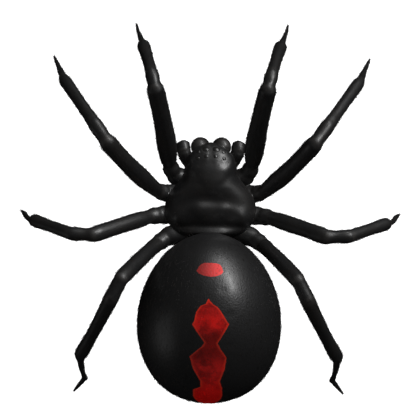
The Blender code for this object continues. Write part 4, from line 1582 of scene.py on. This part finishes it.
    def paint(self, book: Book, place: Port, ground: Port | tuple) -> tuple[Port, Port, Port]:
        """Paints the figures over a ground colour.

        Args:
            book: The material's nodes.
            place: The point on the piece, in millimetres.
            ground: The colour round the figures.

        Returns:
            The colour, a mask that is 1 in the figures, and one that is 1 in the spot.
        """
        waver_scale, waver_reach = self.waver
        x = book.part(place, "X") + (book.noise(place, waver_scale) - 0.5) * waver_reach
        turn = x.worked("ARCTAN2", book.part(place, "Z") - self.globe.middle_z,
                        self.axis_y - book.part(place, "Y"))
        angle = turn * (180 / math.pi)
        angle = angle + angle.worked("LESS_THAN", angle, 0.0) * 360.0
        spot_depth, spot = self.inside(book, angle, x, self.spot_left, self.spot_right)
        stripe_depth, stripe = self.inside(book, angle, x, self.stripe_left, self.stripe_right)
        away = (angle - self.hourglass_middle).size() / self.hourglass_half_length
        spread = self.hourglass_waist + (self.hourglass_half_width - self.hourglass_waist) * away
        glass_depth = (spread - x.size()).at_most((1 - away) * self.hourglass_point)
        glass = glass_depth.eased(-self.edge, self.edge) * (1 - away.eased(*self.hourglass_end))
        figure = spot.at_least(stripe).at_least(glass)
        edge_depth = (spot_depth * spot).at_least(stripe_depth * stripe).at_least(glass_depth * glass)
        speck = book.noise(place, *self.speck_noise).eased(*self.speck)
        waist = angle.eased(*self.waist[:2]) * (1 - angle.eased(*self.waist[2:]))
        crown_middle, *crown_fall = self.crown
        crown = 1 - (angle - crown_middle).size().eased(*crown_fall)
        red = book.mixed(book.noise(place, *self.blotch_noise).eased(*self.blotch), *self.reds)
        for mask, (*wash, strength) in (
            (waist, self.waist_red),
            (speck, self.speck_red),
            (angle.eased(*self.tail), self.tail_red),
            (crown, self.crown_red),
        ):
            red = book.mixed(mask * strength, red, wash)
        rim = (1 - edge_depth.eased(*self.rim)) * self.rim_share
        red = book.mixed(rim, red, book.mixed(waist * self.waist_rim, *self.rim_reds))
        spot_shown = spot * (1 - speck * self.spot_specks) * self.spot_share
        # The spot's own red, painted brighter on its right, the side that the lamps light, and darker on its
        # left: painted light and shade.
        red = book.mixed(spot_shown, red, book.mixed(x.eased(*self.spot_light_to_shade), *self.spot_lit_and_shaded_reds))
        return book.mixed(figure, ground, red), figure, spot


@dataclass(frozen=True)
class SkinFinish(Finish):
    """The spider's skin: satin black shell, leathery abdomen with red figures, softer joints.

    Colours and roughnesses are by stretch of the skin, and all but the first roughness are added to
    it. Cloud and fine are noises with their scale, detail and roughness, grain is the leather's scale
    and smoothness, and relief is the strength and the height in metres of the whole relief.
    """

    name: str = "black_skin"
    shell: Point = (0.0102, 0.0104, 0.0108)
    shell_warm: Point = (0.0135, 0.0126, 0.012)
    globe: Point = (0.0103, 0.0103, 0.0106)
    joint: Point = (0.024, 0.021, 0.019)
    jaw: Point = (0.0125, 0.0115, 0.011)
    roughness: float = 0.46
    abdomen_roughness: float = -0.02
    spot_roughness: float = 0.22
    figure_roughness: float = -0.12
    joint_roughness: float = 0.1
    cloud: Point = (0.8, 4.0, 0.6)
    cloud_range: Pair = (0.35, 0.7)
    cloud_roughness: float = 0.06
    fine: Point = (12.0, 3.0, 0.6)
    fine_roughness: float = 0.08
    jaw_share: float = 0.8
    joint_share: float = 0.6
    grain: Pair = (11.0, 0.6)
    shell_grain: float = 0.35
    fine_relief: float = 0.6
    relief: Pair = (0.22, 0.00003)
    specular: float = 0.62
    coat: float = 0.27
    abdomen_coat: float = -0.07
    limb_coat: float = -0.13
    coat_roughness: float = 0.25
    markings: RedMarkings = RedMarkings()

    def dress(self, book: Book, shader: bpy.types.ShaderNode) -> None:
        """Sets the shader's sockets."""
        place = self.millimetres(book)
        abdomen, limb = book.mask("abdomen"), book.mask("limb")
        membrane, jaw = book.mask("membrane"), book.mask("jaw")
        cloud, fine = book.noise(place, *self.cloud), book.noise(place, *self.fine)
        colour = book.mixed(cloud.eased(*self.cloud_range), self.shell, self.shell_warm)
        colour = book.mixed(abdomen, colour, self.globe)
        colour = book.mixed(jaw * self.jaw_share, colour, self.jaw)
        colour = book.mixed(membrane * self.joint_share, colour, self.joint)
        painted, figure, spot = self.markings.paint(book, place, colour)
        colour = book.mixed(abdomen, colour, painted)
        roughness = self.roughness + (fine - 0.5) * self.fine_roughness
        roughness = roughness + (cloud - 0.5) * self.cloud_roughness
        dulled = self.abdomen_roughness + spot * self.spot_roughness + figure * self.figure_roughness
        roughness = roughness + membrane * self.joint_roughness + abdomen * dulled
        scale, smoothness = self.grain
        grain = book.node(
            "ShaderNodeTexVoronoi", {"feature": "SMOOTH_F1"},
            {"Vector": place, "Scale": scale, "Smoothness": smoothness}, "Distance",
        )
        grain = grain * (self.shell_grain + (1 - self.shell_grain) * abdomen)
        book.feed(shader.inputs["Base Color"], colour)
        book.feed(shader.inputs["Roughness"], roughness)
        book.feed(shader.inputs["Normal"], book.bump(*self.relief, grain + fine * self.fine_relief))
        shader.inputs["Specular IOR Level"].default_value = self.specular
        polish = self.coat + abdomen * self.abdomen_coat + limb * self.limb_coat
        book.feed(shader.inputs["Coat Weight"], (1 - abdomen * figure) * polish)
        shader.inputs["Coat Roughness"].default_value = self.coat_roughness


@dataclass(frozen=True)
class LensFinish(Finish):
    """The clear dark lens of an eye."""

    name: str = "eye_lens"
    colour: Point = (0.006, 0.006, 0.007)
    glint: Point = (0.02, 0.018, 0.016)
    noise_scale: float = 4.0
    roughness: Pair = (0.33, 0.41)
    coat: float = 0.35
    coat_roughness: float = 0.2

    def dress(self, book: Book, shader: bpy.types.ShaderNode) -> None:
        """Sets the shader's sockets."""
        place = self.millimetres(book)
        depth = book.noise(place, self.noise_scale)
        book.feed(shader.inputs["Base Color"], book.mixed(depth, self.colour, self.glint))
        low, high = self.roughness
        book.feed(shader.inputs["Roughness"], low + depth * (high - low))
        shader.inputs["Coat Weight"].default_value = self.coat
        shader.inputs["Coat Roughness"].default_value = self.coat_roughness


@dataclass(frozen=True)
class HornFinish(Finish):
    """The hard, dark horn of fangs and claws, redder in fine streaks that run along Z."""

    name: str
    base: Point
    thin: Point
    roughness: float = 0.25
    roughness_reach: float = 0.16
    streak_scale: Point = (9.0, 9.0, 2.5)
    streak_detail: float = 3.0
    streak_range: Pair = (0.3, 0.7)
    relief: Pair = (0.2, 0.00001)

    def dress(self, book: Book, shader: bpy.types.ShaderNode) -> None:
        """Sets the shader's sockets."""
        place = self.millimetres(book)
        stretched = book.vector("MULTIPLY", place, self.streak_scale)
        streak = book.noise(stretched, 1.0, self.streak_detail)
        colour = book.mixed(streak.eased(*self.streak_range), self.base, self.thin)
        book.feed(shader.inputs["Base Color"], colour)
        book.feed(shader.inputs["Roughness"], self.roughness + (streak - 0.5) * self.roughness_reach)
        book.feed(shader.inputs["Normal"], book.bump(*self.relief, streak))


@dataclass(frozen=True)
class HairFinish(Finish):
    """Fine black hairs, red where they grow on the red figures."""

    name: str = "hair"
    dark: Point = (0.008, 0.0075, 0.0075)
    brown: Point = (0.022, 0.016, 0.012)
    tone_scale: float = 3.0
    tone_range: Pair = (0.35, 0.75)
    roughness: float = 0.42
    roughness_reach: float = 0.2
    specular: float = 0.3
    on_abdomen: bool = False
    markings: RedMarkings = RedMarkings()

    def dress(self, book: Book, shader: bpy.types.ShaderNode) -> None:
        """Sets the shader's sockets."""
        place = self.millimetres(book)
        tone = book.noise(place, self.tone_scale)
        colour = book.mixed(tone.eased(*self.tone_range), self.dark, self.brown)
        if self.on_abdomen:
            # The hairs take the figures' reds, with the spot's painted light and shade.
            colour, _, _ = self.markings.paint(book, place, colour)
        book.feed(shader.inputs["Base Color"], colour)
        book.feed(shader.inputs["Roughness"], self.roughness + (tone - 0.5) * self.roughness_reach)
        shader.inputs["Specular IOR Level"].default_value = self.specular


class SetaTree:
    """The node tree that grows short hairs over a surface, along its lie.

    A hair is patch wide on the map. Its length is a share in length_range of the surface's own. For a
    hair 1 long, bend has its root, middle and tip, and thickness is its radius, of which the share
    taper is gone at the tip.
    """

    patch = 0.003
    length_range = (0.6, 1.15)
    bend = ((0.0, 0.0, -0.06), (0.09, 0.0, 0.5), (-0.06, 0.0, 1.0))
    thickness = 0.03
    taper = 0.9

    def __init__(self) -> None:
        """Builds the tree with its named inputs."""
        self.tree = bpy.data.node_groups.new("setae", "GeometryNodeTree")
        face = self.tree.interface
        self.names = {}
        for name, kind in (
            ("Surface", "NodeSocketGeometry"),
            ("Density", "NodeSocketFloat"),
            ("Lean", "NodeSocketFloat"),
            ("Waver", "NodeSocketFloat"),
            ("Seed", "NodeSocketInt"),
            ("Hair", "NodeSocketMaterial"),
        ):
            self.names[name] = face.new_socket(name, in_out="INPUT", socket_type=kind).identifier
        face.new_socket("Hairs", in_out="OUTPUT", socket_type="NodeSocketGeometry")
        self.fill(Book(self.tree))

    def fill(self, book: Book) -> None:
        """Adds the nodes."""
        given = self.tree.nodes.new("NodeGroupInput")
        inputs = {name: Port(book, given.outputs[name]) for name in self.names}
        cover = self.carried(book, "cover", "FLOAT")
        scatter = book.node(
            "GeometryNodeDistributePointsOnFaces", {"distribute_method": "RANDOM"},
            {"Mesh": inputs["Surface"], "Density": inputs["Density"] * cover, "Seed": inputs["Seed"]},
            "Points",
        )
        normal = Port(book, scatter.socket.node.outputs["Normal"])
        lie = self.carried(book, "lie", "FLOAT_VECTOR")
        waver = book.node("FunctionNodeRandomValue", {"data_type": "FLOAT_VECTOR"},
                          {0: (-1.0, -1.0, -1.0), 1: (1.0, 1.0, 1.0), "Seed": inputs["Seed"]}, 0)
        way = book.vector("ADD", lie, book.scaled(normal, inputs["Lean"]))
        way = book.vector("ADD", way, book.scaled(waver, inputs["Waver"]))
        turned = book.node(
            "FunctionNodeAxesToRotation", {"primary_axis": "Z", "secondary_axis": "X"},
            {"Primary Axis": way, "Secondary Axis": normal}, "Rotation",
        )
        spread = book.node("FunctionNodeRandomValue", {"data_type": "FLOAT"},
                           {2: self.length_range[0], 3: self.length_range[1], "Seed": inputs["Seed"]}, 1)
        length = self.carried(book, "hair_length", "FLOAT") * spread
        hairs = book.node(
            "GeometryNodeInstanceOnPoints", None,
            {"Points": scatter, "Instance": self.one_hair(book), "Rotation": turned, "Scale": length},
        )
        real = book.node("GeometryNodeRealizeInstances", None, {0: hairs})
        root = self.carried(book, "root_place", "FLOAT_VECTOR")
        own = book.node("ShaderNodeCombineXYZ", None, {
            "X": self.carried(book, "patch_along", "FLOAT") * self.patch,
            "Y": self.carried(book, "patch_round", "FLOAT") * self.patch,
        })
        mapped = self.stored(book, real, "OFBake", book.vector("ADD", root, own), "FLOAT2", "CORNER")
        dressed = book.node("GeometryNodeSetMaterial", None, {"Geometry": mapped, "Material": inputs["Hair"]})
        out = self.tree.nodes.new("NodeGroupOutput")
        book.feed(out.inputs["Hairs"], dressed)

    @staticmethod
    def carried(book: Book, name: str, kind: str) -> Port:
        """Values that the surface's points carry under a name."""
        return book.node("GeometryNodeInputNamedAttribute", {"data_type": kind}, {"Name": name}, "Attribute")

    @staticmethod
    def stored(
        book: Book, geometry: Port, name: str, value: Port, kind: str = "FLOAT", domain: str = "POINT"
    ) -> Port:
        """The geometry with values stored under a name."""
        return book.node("GeometryNodeStoreNamedAttribute", {"data_type": kind, "domain": domain},
                         {"Geometry": geometry, "Name": name, "Value": value})

    def one_hair(self, book: Book) -> Port:
        """A single curved hair, 1 long along Z, that tapers to its tip."""
        root, middle, tip = self.bend
        path = book.node("GeometryNodeCurveQuadraticBezier", None, {
            "Resolution": 4, "Start": root, "Middle": middle, "End": tip,
        })
        share = book.node("GeometryNodeSplineParameter", None, None, "Factor")
        path = self.stored(book, path, "patch_along", share)
        radius = 1 - share * self.taper
        path = book.node("GeometryNodeSetCurveRadius", None, {"Curve": path, "Radius": radius})
        ring = book.node("GeometryNodeCurvePrimitiveCircle", {"mode": "RADIUS"},
                         {"Resolution": 3, "Radius": self.thickness}, "Curve")
        ring = self.stored(book, ring, "patch_round", share)
        return book.node("GeometryNodeCurveToMesh", None,
                         {"Curve": path, "Profile Curve": ring, "Fill Caps": True})


@dataclass(frozen=True)
class CoatPlan:
    """How one coat piece grows: hairs per square millimetre, lean off the skin, waver and seed."""

    coat: Coat
    density: float
    lean: float
    waver: float
    seed: int


class Setae:
    """The fine hairs over the body, grown on open copies of the forms under the skin.

    Each form has its own tile of the map, with an empty edge of tile_edge of the tile's width.
    """

    tile_edge = 0.04
    plans = (
        CoatPlan(Coat.FRONT_LEGS, 46.0, 0.3, 0.16, 11),
        CoatPlan(Coat.REAR_LEGS, 46.0, 0.3, 0.16, 12),
        CoatPlan(Coat.ABDOMEN, 26.0, 0.28, 0.2, 13),
        CoatPlan(Coat.HEAD, 30.0, 0.34, 0.22, 14),
    )

    def __init__(self, lofts: Sequence[Loft]) -> None:
        """Keeps the forms that carry hairs."""
        self.lofts = [loft for loft in lofts if loft.coat]

    def surface(self, coat: Coat) -> bpy.types.Object:
        """One open mesh of the forms of a coat piece, which carries the hairs' lie, length and roots."""
        lofts = [loft for loft in self.lofts if loft.coat is coat]
        tiles = math.ceil(math.sqrt(len(lofts)))
        points, faces, start = [], [], 0
        carried = {"lie": [], "root_place": [], "cover": [], "hair_length": []}
        for count, loft in enumerate(lofts):
            rings = np.concatenate((loft.rings, loft.rings[:, :1]), axis=1)
            rows, columns, _ = rings.shape
            index = np.arange(rows * columns).reshape(rows, columns) + start
            quads = np.stack((index[:-1, :-1], index[:-1, 1:], index[1:, 1:], index[1:, :-1]), axis=-1)
            if loft.is_inside_out():
                quads = quads[..., ::-1]
            along, around = np.meshgrid(np.linspace(0, 1, rows), np.linspace(0, 1, columns), indexing="ij")
            corner = np.array((count % tiles, count // tiles), dtype=float)
            inner = self.tile_edge + (1 - 2 * self.tile_edge) * np.stack((along, around), axis=-1)
            unwrapped = (corner + inner) / tiles
            points.append(rings.reshape(-1, 3))
            faces += quads.reshape(-1, 4).tolist()
            cover = np.broadcast_to(loft.cover, loft.rings.shape[:2])
            cover = np.concatenate((cover, cover[:, :1]), axis=1)
            carried["lie"].append(unit(np.gradient(rings, axis=0)).reshape(-1, 3))
            carried["root_place"].append(
                np.concatenate((unwrapped, np.zeros((rows, columns, 1))), axis=-1).reshape(-1, 3)
            )
            carried["cover"].append(cover.ravel())
            carried["hair_length"].append(np.full(rows * columns, loft.hair_length * MM))
            start += rows * columns
        mesh = bpy.data.meshes.new(coat.value + "_surface")
        mesh.from_pydata((np.vstack(points) * MM).tolist(), [], faces)
        for name, parts in carried.items():
            values = np.concatenate(parts).astype(np.float32)
            is_vector = values.ndim == 2
            layer = mesh.attributes.new(name, "FLOAT_VECTOR" if is_vector else "FLOAT", "POINT")
            layer.data.foreach_set("vector" if is_vector else "value", values.ravel())
        return in_scene(coat.value, mesh)

    def build(self, finishes: dict[Coat, bpy.types.Material]) -> list[bpy.types.Object]:
        """Every coat piece as a plain mesh, each with its own material."""
        grower, made = SetaTree(), []
        for plan in self.plans:
            carrier = self.surface(plan.coat)
            grow = carrier.modifiers.new("Grow", "NODES")
            grow.node_group = grower.tree
            for name, value in (
                ("Density", plan.density / MM**2),
                ("Lean", plan.lean),
                ("Waver", plan.waver),
                ("Seed", plan.seed),
                ("Hair", finishes[plan.coat]),
            ):
                grow[grower.names[name]] = value
            graph = bpy.context.evaluated_depsgraph_get()
            mesh = bpy.data.meshes.new_from_object(carrier.evaluated_get(graph))
            carrier.modifiers.clear()
            bpy.data.objects.remove(carrier)
            self.keep_map_only(mesh)
            mesh.name = plan.coat.value
            coat = on_body(plan.coat.value, mesh)
            made.append(coat)
        return made

    @staticmethod
    def keep_map_only(mesh: bpy.types.Mesh) -> None:
        """Drops the helper values from a grown mesh and leaves its map."""
        for name in ("lie", "root_place", "cover", "hair_length", "patch_along", "patch_round"):
            layer = mesh.attributes.get(name)
            if layer:
                mesh.attributes.remove(layer)


@dataclass(frozen=True)
class Lamp:
    """A soft light that shines at the model's middle, square or drawn out along one direction.

    The direction is from the model to it. Its distance and size are in metres and its power in watts,
    and it is stretch times as long along as it is across. It casts no shadow.
    """

    name: str
    direction: Point
    distance: float
    size: float
    power: float
    stretch: float = 1.0
    along: Point = (0.0, 0.0, 1.0)

    def build(self, target: Array) -> None:
        """Hangs the light."""
        light = bpy.data.lights.new(self.name, "AREA")
        light.shape = "RECTANGLE"
        light.size = self.size
        light.size_y = self.size * self.stretch
        light.energy = self.power
        light.use_shadow = False
        away = unit(np.array(self.direction))
        across = unit(np.cross(np.array(self.along), away))
        hung(self.name, light, (across, np.cross(away, across), away), target + away * self.distance)


@dataclass(frozen=True)
class Studio:
    """A plain pale floor, a soft sky, three soft lamps and the camera straight above.

    Attributes:
        lens, sensor: Focal length and sensor width of the camera, in millimetres.
        camera_height, camera_offset: Its place over the floor, in millimetres.
        camera_roll: Its turn about the vertical, in degrees.
        floor_half, floor_grey, floor_glow: Half its width in metres, its grey and its own light.
        sky, ground: Strength of the light from above and from all round.
        horizon, zenith: Between which heights, from -1 to 1, the sky's light rises and fades.
        zenith_loss: How much of it is gone straight above.
        aim_height: Height at which the lamps aim, in metres.
        lamps: The lamps.
    """

    lens: float = 200.0
    sensor: float = 36.0
    camera_height: float = 118.33
    camera_offset: Pair = (0.015, -0.024)
    camera_roll: float = 0.6
    floor_half: float = 0.35
    floor_grey: float = 0.82
    floor_glow: float = 1.0
    sky: float = 0.235
    ground: float = 0.05
    horizon: Pair = (-0.5, 0.3)
    zenith: Pair = (0.6, 0.95)
    zenith_loss: float = 0.3
    aim_height: float = 0.004
    lamps: tuple[Lamp, ...] = (
        Lamp("key", (-0.33, -0.885, 0.33), 0.3, 0.12, 0.22),
        Lamp("strip", (-0.6, -0.57, 0.56), 0.3, 0.028, 0.55, 5.2, (-0.41, 0.67, 0.36)),
        Lamp("fill", (0.92, 0.37, 0.11), 0.3, 0.14, 0.032),
    )

    def camera(self) -> None:
        """The camera, looking straight down with the head at the top of the picture."""
        view = bpy.data.cameras.new("camera")
        view.lens = self.lens
        view.sensor_width = self.sensor
        view.clip_start = 0.005
        view.clip_end = 10.0
        roll = math.radians(self.camera_roll)
        right = (-math.cos(roll), -math.sin(roll), 0.0)
        top = (math.sin(roll), -math.cos(roll), 0.0)
        place = (self.camera_offset[0] * MM, self.camera_offset[1] * MM, self.camera_height * MM)
        bpy.context.scene.camera = hung("camera", view, (right, top, UP), place)

    def floor(self) -> None:
        """The pale floor, which glows a little so that shadows stay faint."""
        half = self.floor_half
        mesh = bpy.data.meshes.new("floor")
        mesh.from_pydata([(-half, -half, 0), (half, -half, 0), (half, half, 0), (-half, half, 0)], [],
                         [(0, 1, 2, 3)])
        made = in_scene("floor", mesh)
        material = bpy.data.materials.new("pale_floor")
        material.use_nodes = True
        shader = material.node_tree.nodes["Principled BSDF"]
        shader.inputs["Base Color"].default_value = (*[self.floor_grey] * 3, 1.0)
        shader.inputs["Roughness"].default_value = 0.9
        shader.inputs["Emission Color"].default_value = (1.0, 1.0, 1.0, 1.0)
        shader.inputs["Emission Strength"].default_value = self.floor_glow
        mesh.materials.append(material)
        made.visible_glossy = False
        made.visible_diffuse = False

    def world(self) -> None:
        """A soft sky, bright overhead and dark below the horizon."""
        world = bpy.data.worlds.new("soft_sky")
        world.use_nodes = True
        book = Book(world.node_tree)
        background = world.node_tree.nodes["Background"]
        way = book.node("ShaderNodeTexCoord", None, None, "Generated")
        height = book.part(way, "Z")
        fading = 1 - height.eased(*self.zenith) * self.zenith_loss
        glow = height.eased(*self.horizon) * fading * self.sky + self.ground
        background.inputs["Color"].default_value = (1.0, 1.0, 1.0, 1.0)
        book.feed(background.inputs["Strength"], glow)
        world.cycles_visibility.glossy = False
        bpy.context.scene.world = world

    def build(self) -> None:
        """Sets up the whole studio."""
        bpy.context.scene.view_settings.view_transform = "Standard"
        for lamp in self.lamps:
            lamp.build(UP * self.aim_height)
        self.camera()
        self.floor()
        self.world()


def report(made: Iterable[bpy.types.Object]) -> None:
    """Logs each piece with its number of triangles."""
    for one in made:
        triangles = sum(len(face.vertices) - 2 for face in one.data.polygons)
        LOG.info("%s: %d triangles", one.name, triangles)


def main() -> None:
    """Builds the spider over its solids, and the studio round it."""
    logging.basicConfig(level=logging.INFO, format="%(name)s: %(message)s")
    head, globe, palps, jaws = Prosoma(), Abdomen(), Palps(), Jaws()
    lofts = [globe.loft(), head.loft(), Pedicel().loft(), *head.mouthparts(), *globe.spinnerets()]
    lofts += jaws.lofts() + palps.lofts()
    for leg in LEGS:
        lofts += leg.lofts()
    skin = Skin(lofts).build(SkinFinish().material())
    pairs = [f"{part}_{side}" for part in ("chelicera", "pedipalp") for side in SIDES]
    legs = [node for leg in LEGS for node in leg.nodes()]
    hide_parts("cephalothorax", "pedicel", "abdomen", "spinnerets", *pairs, *legs)
    report([skin])
    eyes = Eyes().build(head, LensFinish().material())
    report(eyes)
    fangs = jaws.fangs(HornFinish("fang", (0.012, 0.004, 0.003), (0.05, 0.012, 0.006)).material())
    claws = Claws().build(HornFinish("claw", (0.01, 0.007, 0.006), (0.03, 0.016, 0.01), 0.35).material())
    report(fangs + claws)
    plain_hair = HairFinish().material()
    marked_hair = HairFinish(name="abdomen_hair", on_abdomen=True).material()
    finishes = {coat: marked_hair if coat is Coat.ABDOMEN else plain_hair for coat in Coat}
    report(Setae(lofts).build(finishes))
    Studio().build()


if __name__ == "__main__":
    main()
